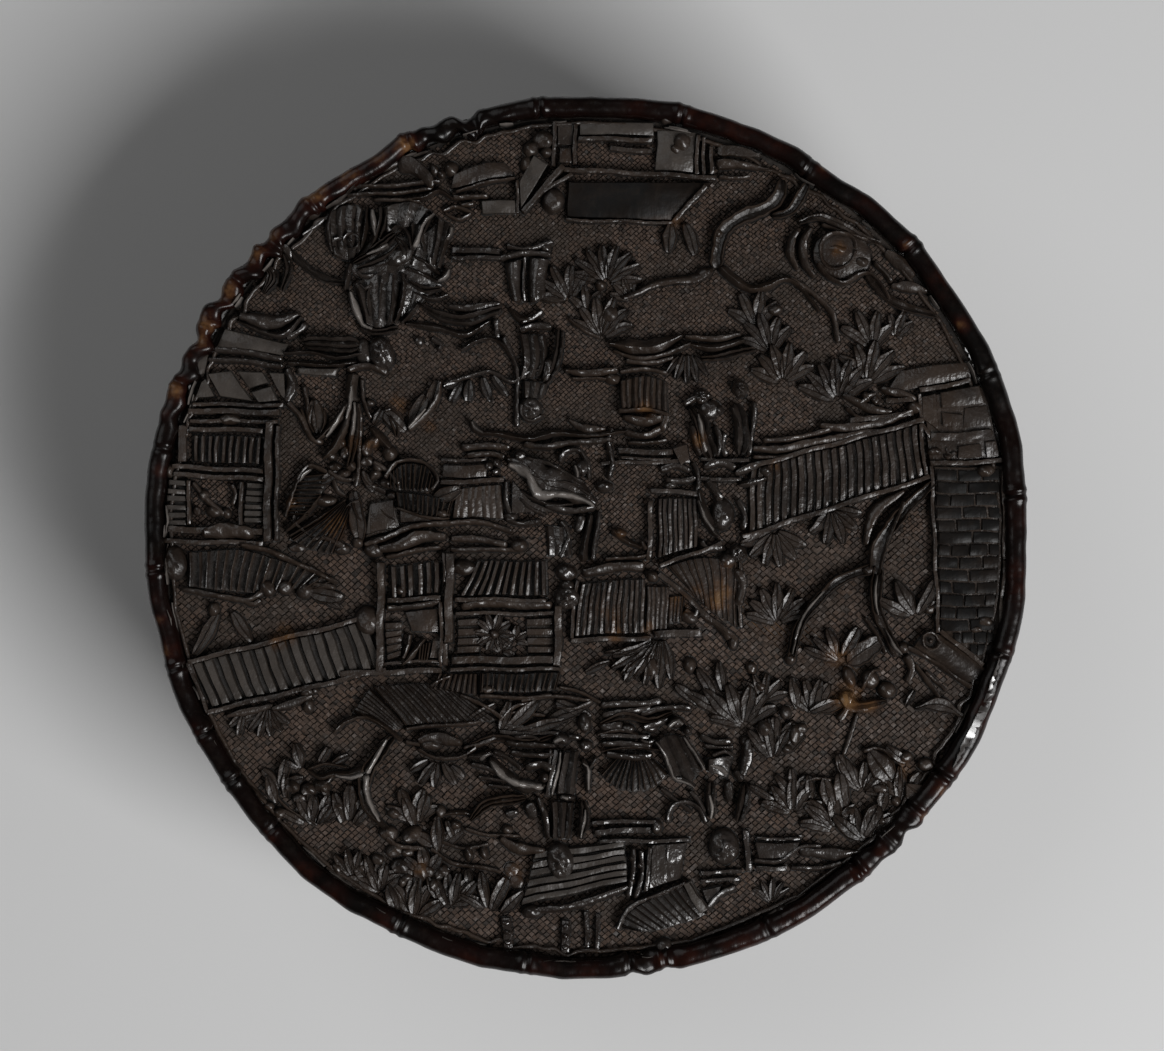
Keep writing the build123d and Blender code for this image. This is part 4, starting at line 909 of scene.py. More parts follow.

# Hems and creases of the figures, rubbed pale and painted pale as highlights where the lamp's shine falls
# on them
wornAndHighlightEdges = dict(
    swell=(
        ((822, 592, 806, 612, 797, 634, 791, 655), (2, 4, 4, 2), 1.35),
        ((884, 628, 893, 645, 902, 655), (2, 4, 2), 1.4),
        ((876, 575, 875, 595, 878, 615), (2, 4, 2), 1.4),
        ((221, 420, 230, 419, 239, 421), (4, 8, 4), 1.35), ((200, 494, 206, 494), 6, 1.2),
        ((352, 385, 350, 400, 345, 420), (4, 6, 3), 1.5),
        ((354, 402, 353, 420, 352, 436), (3, 5, 3), 1.4),
        ((344, 406, 334, 424, 326, 436), (2, 5, 3), 1.35),
        ((699, 499, 704, 516, 713, 531), (3, 6, 3), 1.5),
        ((697, 412, 702, 430, 706, 452), (3, 7, 5), 1.45),
        ((349, 291, 353, 305, 362, 324, 373, 329), (4, 8, 5, 3), 1.35),
        ((435, 213, 424, 222, 417, 238, 413, 247), (2, 4, 4, 7), 1.5),
        ((371, 208, 373, 219, 375, 236), (3, 7, 3), 1.25), ((357, 219, 359, 226), 5, 1.25),
        ((430, 256, 431, 264, 436, 268), (3, 6, 3), 1.3),
        ((437, 280, 445, 275, 450, 268), (3, 6, 2), 1.2),
        ((388, 242, 377, 249, 365, 254), (6, 5, 2), 1.45), ((450, 225, 450, 232, 445, 239), 4, 1.3),
        ((508, 465, 520, 467, 529, 476, 533, 487, 541, 495, 556, 494, 572, 495, 586, 500, 594, 507),
            (5, 13, 10, 11, 12, 8, 7, 6, 3), 1.75),
        ((490, 760, 500, 772, 516, 782, 530, 785, 545, 788), (5, 9, 8, 8, 8), 1.65),
        ((479, 761, 484, 756, 491, 753), (5, 6, 2), 1.3),
        ((560, 751, 557, 775, 552, 796), (2, 5, 3), 1.45),
        ((553, 743, 558, 740, 564, 738), (4, 6, 4), 1.5), ((561, 796, 569, 798), 5, 1.5),
        ((583, 762, 589, 770, 588, 790), (2, 4, 3), 1.35),
        ((585, 808, 584, 822, 581, 838), (2, 5, 3), 1.45),
        ((656, 741, 664, 753, 669, 768, 674, 778, 688, 782, 695, 787), (3, 5, 5, 5, 4, 2), 1.65),
        ((684, 737, 694, 752, 704, 769), (3, 5, 4), 1.65),
        ((709, 764, 720, 768, 728, 775), (3, 8, 5), 1.5),
        ((668, 727, 676, 721, 683, 725), (4, 7, 4), 1.75),
        ((709, 793, 711, 806, 710, 818), (3, 5, 3), 1.35),
        ((471, 421, 476, 429, 484, 433), (3, 5, 3), 1.1),
        ((574, 465, 577, 472, 578, 480), (3, 5, 3), 1.3),
        ((407, 428, 417, 418, 425, 408), (4, 4, 2), 1.25),
        ((299, 482, 302, 475, 310, 469), (3, 6, 3), 1.25),
        ((388, 738, 375, 758, 366, 774), (3, 5, 6), 1.5),
        ((366, 774, 368, 798, 379, 822), (8, 6, 4), 1.5),
        ((364, 774, 350, 778, 335, 775), (7, 5, 3), 1.4)),
)
lidMotif("lidWornAndHighlightEdges", wornAndHighlightEdges, wornAndHighlightShell)
trailingRobe = dict(
    ridge=(((236, 321, 262, 331, 284, 333, 302, 316), (3, 6, 8, 4), 1.4),),
    swell=(((236, 315, 270, 321, 300, 314), (9, 17, 6), 1.15),),
    bead=(
        ((212, 348, 245, 352, 281, 358), 6.5, 0.9), ((205, 358, 245, 361, 283, 366), 5.5, 0.85),
        ((286, 367, 291, 385, 284, 402), (7, 10, 8), 1.05), ((285, 337, 300, 330, 306, 322), 6, 0.9)),
)
lidMotif("lidTrailingRobe", trailingRobe, glossShell)

# Leaded lattice beside the left pavilion, in separate panes
latticePanes = dict(
    panels=(
        ((223, 327, 255, 336, 288, 343), (214, 345, 250, 350, 283, 354), 0.9, "slab"),
        ((295, 368, 338, 367), (296, 374, 336, 375), 0.85, "slab"),
        ((168, 478, 162, 528), (185, 480, 184, 526), 0.78, slatSection(6, 0.22, 0.75)),
        ((245, 482, 243, 523), (262, 482, 262, 523), 0.68, slatSection(6, 0.16, 0.6))),
    plates=(
        ((206, 372, 229, 371), (219, 396, 252, 400), 0.78),
        ((235, 371, 261, 371), (248, 387, 268, 381), 0.78),
        ((250, 391, 270, 385), (258, 401, 277, 400), 0.76),
        ((267, 371, 283, 373), (281, 396, 285, 401), 0.76),
        ((201, 380, 204, 377), (194, 396, 214, 396), 0.72),
        ((192, 357, 207, 350), (196, 374, 203, 372), 0.85)),
)
lidMotif("lidLatticePanes", latticePanes, boardSheenShell)

# Left pavilion
leftPavilion = dict(
    bars=(
        (190, 403, 282, 405, 4, 0.95), (186, 410, 278, 412, 6, 1.1), (188, 420, 276, 421, 4, 0.9),
        (188, 428, 262, 430, 5, 0.85), (268, 420, 266, 541, 8, 1.2), (277, 425, 275, 541, 4, 0.95),
        (182, 425, 180, 462, 9, 0.9), (170, 466, 262, 471, 5, 1.15), (172, 474, 262, 479, 5, 1.0),
        (240, 482, 240, 526, 4, 0.95), (166, 529, 262, 531, 7, 1.0), (163, 541, 262, 543, 5, 0.9),
        (188, 480, 187, 524, 4, 0.9)),
    panels=(
        ((192, 434, 262, 437), (190, 461, 260, 464), 0.8, slatSection(10, 0.42, 0.85)),
        ((186, 552, 240, 550, 275, 558, 310, 572, 335, 582),
            (186, 587, 222, 590, 250, 594, 276, 590, 318, 588), 1.0, ribSection(17, 0.5))),
    bead=(
        ((199, 533, 225, 531, 253, 533), (10, 17, 13), 1.35),
        ((238, 545, 268, 550, 300, 566, 337, 583), 6, 1.2),
        ((180, 590, 215, 595, 245, 601, 262, 592), 6, 0.9),
        ((191, 482, 202, 494, 214, 507, 224, 516), 6, 0.85), ((228, 484, 234, 494, 231, 506), 5, 0.7),
        ((196, 505, 194, 515), 8, 0.7), ((310, 586, 335, 587), 7, 0.9),
        ((237, 598, 250, 605, 260, 600), 5, 0.8)),
    knobs=(
        (228, 419, 12, 6, 1.3, 0, 0.6), (203, 494, 6, 6, 1.1), (213, 511, 9, 7, 1.0),
        (173, 563, 13, 18, 1.4), (266, 588, 9, 9, 1.25), (284, 587, 9, 8, 1.2), (304, 591, 9, 9, 1.1),
        (213, 609, 6, 8, 0.9), (226, 514, 5, 6, 0.9), (168, 470, 5, 8, 1.0)),
    leaves=(
        (308, 593, -8, 36, 15), (218, 612, 240, 50, 13), (231, 612, 304, 36, 12),
        (322, 597, -30, 22, 8)),
)
lidMotif("lidLeftPavilion", leftPavilion)

# Slatted fence that climbs from the left edge
leftFenceSlats = dict(
    panels=(((190, 664, 368, 621), (208, 707, 384, 666), 0.72, slatSection(15, 0.2, 0.8)),),
)
lidMotif("lidLeftFenceSlats", leftFenceSlats, boardSheenShell)
leftFence = dict(
    bars=((187, 662, 370, 617, 5, 0.95), (206, 712, 386, 669, 5, 0.95), (187, 662, 207, 713, 4, 0.9)),
    bead=(
        ((225, 716, 250, 712, 272, 705), (4, 9, 4), 0.75),
        ((270, 709, 290, 704, 312, 697), (4, 10, 5), 0.75)),
    knobs=(
        (368, 621, 14, 15, 1.35), (305, 692, 8, 6, 0.9), (314, 691, 4, 4, 0.9), (308, 707, 6, 8, 0.8)),
    fans=((266, 706, 268, 110, 6, 30, 8, 0.75), (242, 712, 262, 70, 3, 22, 8, 0.7)),
)
lidMotif("lidLeftFence", leftFence)

# Small tree, pods and creepers beside the left pavilion
leftTree = dict(
    ridge=(
        ((353, 372, 351, 388, 349, 403), (11, 12, 17), (1.2, 1.35, 1.3)),
        ((348, 402, 338, 418, 325, 432, 316, 441), (9, 9, 7, 3), 1.2),
        ((350, 404, 345, 425, 335, 445, 321, 459), (8, 10, 10, 4), 1.2),
        ((369, 427, 380, 438, 391, 449), (7, 10, 8), 1.3),
        ((321, 494, 303, 515, 284, 532), (5, 6, 4), 1.1),
        ((346, 499, 318, 517, 288, 537), (3, 4, 3), 0.9),
        ((322, 408, 324, 420, 320, 434), (3, 5, 3), 0.8),
        ((299, 408, 304, 420, 309, 430), (3, 5, 3), 0.8), ((360, 500, 352, 503, 345, 508), 4, 0.9),
        ((352, 502, 356, 515, 361, 522), (2, 4, 3), 1.0), ((364, 536, 382, 530, 402, 527), 4, 0.7)),
    twoFolds=(
        ((353, 404, 354, 425, 352, 450, 347, 466), (8, 10, 10, 5), 1.15),
        ((312, 404, 309, 418, 314, 432), (4, 7, 4), 0.9),
        ((388, 414, 393, 424, 396, 436), (4, 8, 3), 0.9)),
    bead=(
        ((357, 402, 359, 430, 358, 460, 354, 487), 5, 1.0), ((346, 370, 365, 366, 387, 372), 7, 1.15),
        ((361, 378, 363, 400, 369, 419), 4.5, 0.8), ((303, 385, 305, 400, 308, 425), 5, 0.75),
        ((285, 402, 300, 418, 312, 440, 323, 441), 6.5, 0.95),
        ((408, 431, 425, 415, 438, 395, 441, 380), (5, 6, 5, 3), 1.1),
        ((384, 478, 398, 461, 420, 461, 437, 478, 431, 491), 4, 1.2),
        ((297, 481, 308, 466, 326, 472), 5, 1.2), ((298, 478, 291, 497, 284, 518), (4, 5, 3), 1.15),
        ((396, 507, 422, 517, 449, 518), (3, 4, 3), 1.1), ((326, 470, 340, 478, 352, 480), 5, 0.9),
        ((310, 540, 325, 538, 345, 548), 6, 0.8), ((372, 462, 385, 470, 398, 485), 6, 0.9),
        ((360, 470, 368, 485, 385, 492), 5, 0.8), ((288, 520, 305, 533, 318, 540), 4, 0.7),
        ((332, 478, 337, 490, 345, 496), 5, 0.8), ((384, 410, 392, 409, 402, 420), 3, 1.0),
        ((380, 508, 388, 516, 395, 520), 2.5, 0.75)),
    panels=(
        ((388, 476, 402, 463, 424, 466, 435, 481), (388, 487, 405, 490, 420, 492, 435, 490), 1.1,
            ribSection(12, 0.5)), ((394, 491, 420, 495, 453, 500), (398, 507, 425, 516, 447, 517), 1.0,
            ribSection(11, 0.5)), ((326, 472, 322, 492, 306, 516), (300, 476, 293, 496, 286, 517), 1.05,
            ribSection(10, 0.5)), ((343, 501, 351, 507), (290, 540, 312, 550, 335, 553), 0.85,
            ribSection(7, 0.4))),
    knobs=(
        (390, 453, 8, 9, 1.3), (357, 543, 6, 6, 1.15), (325, 500, 13, 6, 1.1), (292, 503, 7, 5, 0.9),
        (442, 513, 8, 5, 1.15), (366, 450, 6, 8, 0.9), (377, 468, 6, 5, 0.9), (330, 455, 6, 5, 0.8),
        (370, 402, 5, 4, 0.7)),
    rocks=(
        (366, 461, 8, 6, 0.9), (374, 475, 8, 5, 0.95, 30), (385, 483, 7, 5, 0.9, -20),
        (371, 487, 7, 4, 0.8), (391, 494, 6, 4, 0.8), (345, 452, 6, 8, 0.95), (350, 465, 6, 6, 1.0),
        (342, 473, 8, 5, 0.95, 15), (334, 466, 7, 5, 0.8), (340, 441, 6, 8, 0.9, 20),
        (366, 447, 5, 9, 0.95, -15), (342, 549, 8, 5, 0.7), (297, 548, 9, 5, 0.6),
        (374, 441, 6, 8, 0.85, -30), (355, 478, 5, 6, 0.9)),
    leaves=(
        (353, 491, 276, 54, 16), (434, 499, 22, 30, 16), (318, 433, 100, 36, 15),
        (405, 431, 137, 32, 15), (408, 428, 62, 38, 15), (427, 413, 72, 36, 13), (360, 470, 300, 26, 9),
        (300, 505, 250, 22, 8), (372, 425, 60, 20, 9), (338, 470, 215, 22, 9)),
)
lidMotif("lidLeftTree", leftTree)

# Centre left: hanging leaves, thin trunk, figure carrying a long bundle
middleFigure = dict(
    bead=(
        ((443, 383, 470, 376, 490, 372, 512, 381, 527, 372, 541, 370), 4, 0.8),
        ((503, 336, 510, 352, 516, 372, 517, 400, 515, 426), (6, 5, 4.5, 4.5, 6), 0.85),
        ((499, 258, 522, 252, 551, 255), 6, 1.0), ((505, 245, 530, 248, 553, 241), 5, 0.8),
        ((520, 323, 532, 318, 543, 311), 5.5, 0.9), ((447, 305, 475, 308, 501, 303), (4, 10, 5), 1.0),
        ((519, 330, 535, 325, 553, 328), 7, 1.15), ((521, 403, 522, 416, 531, 421, 543, 416), 4, 1.2),
        ((548, 358, 545, 383), 9, 1.25), ((430, 338, 440, 345, 436, 350), 6, 0.7),
        ((420, 345, 418, 335), 8, 0.6)),
    ridge=(
        ((455, 345, 462, 348, 472, 341, 490, 338, 503, 345, 513, 359), (4, 6, 4, 4, 6, 5), 1.0),
        ((508, 307, 520, 318, 536, 315), (4, 8, 4), 1.0),
        ((405, 322, 440, 328, 465, 333, 491, 321), (4, 8, 7, 3), 0.9)),
    twoFolds=(
        ((417, 303, 440, 315, 470, 318, 501, 308), (4, 11, 13, 9), 1.1),
        ((561, 329, 558, 350, 552, 372, 544, 384), (8, 9, 10, 9), 1.35)),
    bars=(
        (452, 248, 499, 251, 6, 0.7), (452, 257, 501, 257, 4, 0.95), (496, 320, 498, 338, 4, 0.9),
        (524, 256, 524, 300, 2.5, 0.9)),
    panels=(
        ((505, 262, 521, 258), (512, 300, 521, 302), (1.0, 1.25), "swell"),
        ((528, 257, 549, 259), (529, 303, 545, 298), (1.0, 1.25), "swell"),
        ((519, 332, 546, 335), (518, 379, 541, 376), 1.0, "threeFolds", 4),
        ((522, 380, 549, 384), (524, 398, 543, 399), 0.95, "threeFolds")),
    knobs=((545, 247, 6, 6, 0.9), (528, 247, 6, 4, 0.8)),
    heads=((531, 409, 11, 12, 1.4, -90),),
    leaves=(
        (462, 381, 238, 24, 9), (470, 379, 262, 24, 10), (483, 377, 286, 26, 10), (492, 375, 308, 26, 9),
        (460, 381, 198, 18, 8)),
)
lidMotif("lidMiddleFigure", middleFigure, glossShell)

# Boat, jar and waves in the middle
middleWaves = dict(
    ridge=(
        ((607, 343, 630, 347, 655, 346, 683, 336), (4, 17, 17, 5), 1.2),
        ((690, 345, 715, 347, 745, 340), (5, 10, 5), 1.0),
        ((470, 421, 477, 432, 500, 434, 530, 438, 560, 433, 600, 435, 627, 431), (3, 6, 7, 8, 7, 7, 4),
            1.1)),
    bead=(
        ((612, 351, 635, 358, 665, 354, 692, 344), (3, 5, 5, 4), 1.05),
        ((625, 361, 650, 362, 674, 358), 5, 0.8), ((685, 337, 715, 338, 742, 334), (4, 7, 4), 0.9),
        ((565, 370, 590, 373, 619, 371), (3, 10, 6), 1.1), ((572, 378, 595, 378, 613, 381), 3.5, 0.9),
        ((620, 372, 645, 368, 667, 374), 4.5, 0.85), ((617, 411, 645, 409, 669, 416), 5, 1.3),
        ((622, 417, 645, 421, 664, 418), (6, 11, 7), 1.2), ((624, 432, 645, 435, 662, 428), 7, 0.95),
        ((666, 414, 660, 432), 8, 1.05), ((523, 443, 548, 447, 575, 442, 614, 440), 6.5, 1.0),
        ((568, 419, 585, 428, 607, 430), (4, 10, 4), 0.9), ((460, 447, 485, 446, 511, 448), 7, 0.85),
        ((465, 455, 490, 454, 505, 458), 6, 0.75), ((628, 443, 650, 442, 668, 440), 4, 0.7),
        ((613, 428, 608, 440), 5, 0.8)),
    twoFolds=(((700, 358, 722, 356, 755, 349), (5, 9, 6), 1.0),),
    bars=((618, 451, 674, 452, 6, 0.85), (600, 463, 690, 461, 4, 0.75), (620, 458, 672, 459, 3, 0.7)),
    panels=(
        ((620, 381, 645, 375, 668, 383), (620, 408, 645, 409, 668, 412), (0.95, 1.2),
            foldSection(8, 0.3)),),
    plates=(((673, 448, 688, 444), (681, 466, 690, 460), 1.1),),
    knobs=((613, 379, 9, 6, 1.2), (652, 416, 6, 4, 1.35)),
    leaves=(
        (684, 355, 250, 26, 8), (687, 355, 270, 28, 8), (690, 355, 288, 28, 8), (680, 356, 232, 22, 7),
        (694, 356, 308, 22, 7)),
)
lidMotif("lidMiddleWaves", middleWaves)

# Glossy reclining figure at the very middle, with drapery below
recliningFigure = dict(
    swell=(
        ((507, 459, 528, 466, 546, 480, 570, 488, 597, 504), (6, 25, 31, 25, 6),
            (1.0, 1.4, 1.5, 1.3, 1.0)),),
    ridge=(
        ((526, 462, 536, 474, 548, 486, 566, 490, 588, 496), (3, 6, 6, 5, 3), 1.6),
        ((520, 490, 533, 498, 552, 505, 574, 503), (3, 6, 6, 3), 1.2),
        ((590, 514, 586, 540, 583, 561), (6, 7, 9), 1.2)),
    bead=(
        ((528, 474, 546, 482, 572, 484, 592, 496), 4, 1.55),
        ((524, 457, 545, 462, 566, 474, 584, 482), 4, 1.5),
        ((560, 464, 565, 453, 579, 450, 586, 462, 589, 479), 5, 1.0),
        ((607, 440, 611, 460, 608, 479), 5.5, 1.0), ((545, 506, 570, 510, 596, 508), 7, 1.05),
        ((505, 518, 522, 524, 542, 522), 5.5, 0.9), ((519, 497, 530, 508, 546, 516), 4, 0.9),
        ((581, 514, 577, 532), 10, 1.1), ((598, 512, 596, 535, 592, 561), 4.5, 1.1),
        ((505, 480, 506, 500, 511, 515), 5, 0.7), ((560, 520, 568, 535, 560, 558), 5, 0.8)),
    plates=(((512, 480, 512, 513), (531, 502, 556, 512), 0.6),),
    panels=(((545, 526, 570, 526), (548, 556, 572, 556), 0.55, "threeFolds"),),
    knobs=(
        (521, 455, 7, 6, 1.6), (582, 467, 8, 9, 1.2), (605, 487, 9, 6, 1.0), (488, 466, 5, 5, 1.0),
        (496, 463, 5, 5, 1.05), (495, 472, 5, 4, 1.0), (511, 516, 8, 5, 1.0), (566, 573, 11, 9, 1.3),
        (567, 586, 8, 6, 1.1)),
    heads=((567, 598, 13, 12, 1.5, -90),),
)
lidMotif("lidRecliningFigure", recliningFigure, glossShell)

# Platform before the central pavilion
platform = dict(
    plates=(
        ((371, 503, 393, 499), (369, 535, 396, 529), 0.6),
        ((400, 510, 438, 515), (400, 523, 440, 521), 0.55),
        ((442, 465, 486, 464), (442, 477, 486, 477), 0.6)),
    panels=(((456, 488, 501, 485), (450, 518, 505, 518), 0.55, foldSection(7, 0.2)),),
    bars=((440, 482, 503, 480, 5, 0.75), (440, 460, 486, 459, 3, 0.7)),
)
lidMotif("lidPlatform", platform)

# Central pavilion: curved eave, posts, balusters, screen with a flower, ribbed roof
centralPavilion = dict(
    bead=(
        ((363, 546, 385, 537, 410, 528, 440, 523, 480, 523, 512, 531), 6, 1.05),
        ((378, 549, 400, 545, 421, 537, 447, 536), (6, 13, 14, 6), 1.3),
        ((385, 557, 410, 552, 442, 547), 5, 0.95), ((450, 538, 480, 540, 507, 545), 7, 0.85),
        ((450, 549, 480, 550, 522, 549), 5, 0.8), ((385, 608, 420, 606, 442, 602), 6, 0.95),
        ((461, 607, 480, 604, 520, 605, 553, 606), 8, 1.05), ((403, 660, 408, 645, 410, 634), 4, 1.0),
        ((405, 729, 440, 726, 482, 722), 4.5, 0.95), ((417, 742, 436, 738, 462, 743), (8, 13, 8), 1.2),
        ((417, 750, 432, 757, 460, 757, 476, 748), 4.5, 1.1), ((458, 694, 480, 704, 502, 719), 4.5, 0.9),
        ((520, 701, 546, 697, 591, 700), 4.5, 0.75), ((555, 708, 575, 709, 593, 700), 4.5, 0.8),
        ((558, 688, 580, 692, 601, 703), 4, 0.7), ((405, 742, 420, 746), 5, 0.9),
        ((430, 688, 440, 680, 452, 676), 4, 0.95), ((462, 748, 480, 745, 498, 738), 5, 0.9),
        ((500, 722, 512, 708, 530, 702), 4, 0.8), ((505, 715, 520, 712, 545, 716), 4, 0.6),
        ((478, 696, 510, 698, 552, 696), 4.5, 0.9)),
    ridge=(
        ((402, 665, 412, 655, 424, 639), (4, 8, 4), 1.2),
        ((333, 733, 345, 722, 363, 717, 385, 727, 403, 741), (4, 6, 6, 6, 5), 1.15)),
    bars=(
        (381, 562, 379, 672, 8, 1.2), (450, 552, 448, 642, 9, 1.25), (444, 552, 444, 583, 3, 1.1),
        (559, 606, 557, 666, 8, 1.15), (386, 600, 441, 598, 5, 0.95), (455, 599, 546, 601, 5, 0.95),
        (455, 613, 555, 614, 4, 0.8), (340, 674, 442, 670, 6, 0.95), (452, 660, 557, 660, 8, 0.95),
        (450, 669, 561, 669, 4, 0.85), (441, 602, 441, 664, 4, 0.95), (383, 663, 440, 661, 3, 0.7),
        (445, 642, 446, 665, 5, 0.9)),
    panels=(
        ((389, 566, 441, 562), (389, 598, 441, 593), 0.85, slatSection(6, 0.36, 0.85)),
        ((477, 561, 547, 561), (459, 595, 547, 595), 0.8, slatSection(11, 0.36, 0.85)),
        ((480, 674, 562, 673), (478, 693, 556, 691), 0.95, ribSection(14, 0.5)),
        ((438, 673, 478, 674), (430, 690, 476, 694), 0.85, foldSection(8, 0.5)),
        ((352, 712, 361, 700, 371, 689), (391, 731, 398, 728, 405, 724), 1.05, ribSection(7, 0.5)),
        ((372, 688, 400, 684, 430, 685, 456, 690), (405, 725, 432, 724, 460, 723, 500, 721), 1.1,
            ribSection(17, 0.5)),
            ((418, 645, 430, 642), (418, 661, 428, 661), 1.0, foldSection(4, 0.5))),
    knobs=(
        (463, 567, 13, 8, 1.35), (518, 545, 9, 7, 1.2), (373, 550, 10, 8, 1.15), (494, 634, 5, 5, 1.1),
        (487, 690, 8, 5, 1.0), (400, 590, 6, 5, 0.9), (430, 745, 12, 6, 1.25)),
    fans=(
        (494, 634, 90, 320, 10, 20, 9, 0.95), (515, 640, 80, 200, 5, 15, 7, 0.8),
        (500, 652, 70, 160, 4, 16, 7, 0.75)),
)
lidMotif("lidCentralPavilion", centralPavilion)
pavilionScreens = dict(
    panels=(
        ((479, 618, 479, 655), (457, 618, 457, 655), 0.55, slatSection(4, 0.16, 0.6)),
        ((553, 618, 553, 655), (527, 618, 527, 655), 0.55, slatSection(4, 0.16, 0.6)),
        ((385, 622, 386, 660), (402, 622, 400, 656), 0.6, slatSection(5, 0.12, 0.4))),
    plates=(
        ((405, 612, 438, 609), (412, 632, 438, 632), 0.5),
        ((432, 640, 439, 640), (430, 658, 439, 658), 0.6)),
)
lidMotif("lidPavilionScreens", pavilionScreens)

# Board walls right of the pavilion
boardWalls = dict(
    panels=(
        ((581, 583, 645, 579), (573, 636, 645, 632), 0.75, slatSection(12, 0.3, 0.45)),
        ((646, 586, 669, 586), (646, 630, 668, 630), 0.65, foldSection(5, 0.25)),
        ((668, 567, 705, 557, 739, 563), (690, 592, 712, 611, 737, 629), 0.7, ribSection(9, 0.3)),
        ((658, 499, 698, 498), (657, 558, 698, 546), 0.75, slatSection(8, 0.26, 0.45)),
        ((668, 597, 684, 596), (668, 624, 683, 622), 0.68, ribSection(4, 0.3))),
)
lidMotif("lidBoardWalls", boardWalls)
boardFrames = dict(
    bead=(
        ((581, 573, 610, 568, 646, 566), 10, 0.95), ((735, 569, 742, 585, 738, 607), 9, 1.15),
        ((700, 612, 720, 628, 729, 641), 7, 0.95), ((605, 560, 630, 558, 649, 555), 4, 0.85),
        ((640, 540, 646, 550), 5, 0.9), ((685, 610, 695, 616, 700, 608), 5, 0.8)),
    ridge=(((611, 530, 625, 540, 642, 547), (7, 7, 4), 1.1),),
    bars=(
        (570, 640, 651, 638, 5, 0.95), (655, 635, 700, 632, 8, 0.85), (660, 566, 723, 543, 4.5, 1.05),
        (659, 573, 737, 641, 5, 1.1), (650, 490, 701, 494, 5, 0.9), (651, 500, 649, 559, 5, 0.9),
        (577, 580, 571, 638, 3.5, 0.9), (740, 560, 740, 628, 3.5, 0.85)),
    knobs=(
        (653, 576, 7, 6, 1.25), (690, 617, 9, 7, 1.0), (733, 643, 5, 8, 1.0), (620, 533, 7, 5, 1.1),
        (652, 668, 7, 12, 0.95), (690, 665, 7, 9, 0.9)),
    leaves=(
        (641, 657, 238, 30, 10), (655, 641, 200, 46, 9), (655, 641, 213, 52, 9), (655, 641, 226, 48, 9),
        (656, 641, 240, 44, 9), (658, 641, 254, 46, 10), (661, 641, 268, 48, 11), (664, 641, 282, 40, 9),
        (640, 648, 190, 36, 7), (585, 672, 20, 28, 8)),
)
lidMotif("lidBoardFrames", boardFrames)

# Three people right of the middle
rightPeople = dict(
    ridge=(
        ((699, 488, 704, 510, 712, 530, 719, 537), (5, 10, 10, 5), 1.4),
        ((740, 486, 755, 482, 767, 477), (6, 10, 5), 1.1)),
    bead=(
        ((706, 479, 715, 490, 721, 502), 8, 1.1), ((702, 468, 720, 462, 736, 469), 8, 1.0),
        ((735, 475, 750, 468, 765, 462), (6, 9, 6), 1.1), ((691, 424, 696, 442, 700, 456), 7, 1.2),
        ((731, 407, 737, 420, 740, 430), 4.5, 1.4), ((753, 400, 753, 425, 748, 456), 5.5, 0.95),
        ((684, 405, 695, 398, 712, 396), 6, 1.0), ((716, 425, 720, 440, 716, 456), 6, 1.0),
        ((725, 432, 722, 446, 726, 456), 6, 0.8), ((700, 540, 708, 548, 724, 548), 6, 0.9),
        ((737, 500, 744, 515, 742, 530), 6, 0.9), ((660, 470, 675, 466, 690, 472), 7, 0.8),
        ((664, 480, 682, 482, 696, 478), 6, 0.8), ((692, 462, 698, 478, 696, 496), 5, 0.9)),
    threeFolds=(((690, 406, 700, 420, 706, 440, 711, 459), (7, 15, 17, 15), 1.4),),
    twoFolds=(((735, 404, 741, 420, 743, 440, 739, 456), (10, 15, 17, 10), 1.3),),
    bars=((700, 459, 749, 461, 4, 0.85), (700, 478, 742, 480, 4, 0.8)),
    knobs=(
        (722, 515, 12, 17, 1.3), (728, 561, 9, 8, 1.2), (709, 409, 12, 10, 1.2), (712, 484, 6, 5, 1.0),
        (718, 410, 5, 5, 1.2), (765, 471, 7, 6, 1.2), (670, 486, 7, 5, 0.9)),
    heads=((739, 554, 9, 9, 1.5, -60), (740, 389, 8, 9, 1.4, 90), (702, 396, 8, 8, 1.2, 90)),
)
lidMotif("lidRightPeople", rightPeople, glossShell)

# Slatted fence that climbs to the right wall
rightFenceSlats = dict(
    panels=(
        ((749, 470, 800, 456, 860, 441, 918, 424), (747, 535, 800, 518, 860, 497, 924, 476), 0.75,
            slatSection(21, 0.24, 0.6)),),
)
lidMotif("lidRightFenceSlats", rightFenceSlats)
rightFence = dict(
    bars=(
        (745, 468, 923, 420, 5, 1.05), (742, 537, 929, 477, 5, 1.05), (850, 421, 913, 413, 6, 0.85),
        (920, 424, 926, 478, 4, 0.9)),
    bead=(
        ((752, 449, 790, 448, 830, 440, 882, 431), (6, 10, 10, 6), 1.0),
        ((763, 440, 800, 438, 832, 428), 6, 0.85),
        ((818, 425, 860, 428, 900, 416, 919, 409), (6, 11, 9, 5), 0.95),
        ((842, 395, 868, 408, 892, 412), (5, 11, 5), 0.85),
        ((880, 388, 905, 395, 917, 401), (6, 10, 5), 0.85), ((845, 408, 858, 418, 873, 419), 4.5, 0.9),
        ((752, 458, 780, 457, 805, 452), 5, 0.9), ((860, 405, 872, 394, 880, 400), 5, 0.9)),
    knobs=((915, 408, 9, 7, 1.15), (866, 397, 5, 6, 0.9), (875, 399, 5, 6, 0.9)),
    fans=((774, 530, 268, 130, 6, 36, 11, 0.85), (832, 508, 288, 120, 5, 34, 11, 0.85)),
)
lidMotif("lidRightFence", rightFence)

# Brick wall at the right edge
brickWall = dict(
    top=470.0, course=12.5, rows=15, leftTop=936.0, leftLow=942.0, right=1001.0, joint=1.7, height=0.62,
    uneven=0.12, least=6, slopeFrom=632, slope=1.15, bendFrom=560, bend=0.09,
    cuts=((0.34, 0.72), (0.5,), (0.22, 0.62), (0.42, 0.8), (0.3, 0.68), (0.55,), (0.2, 0.5, 0.82)))


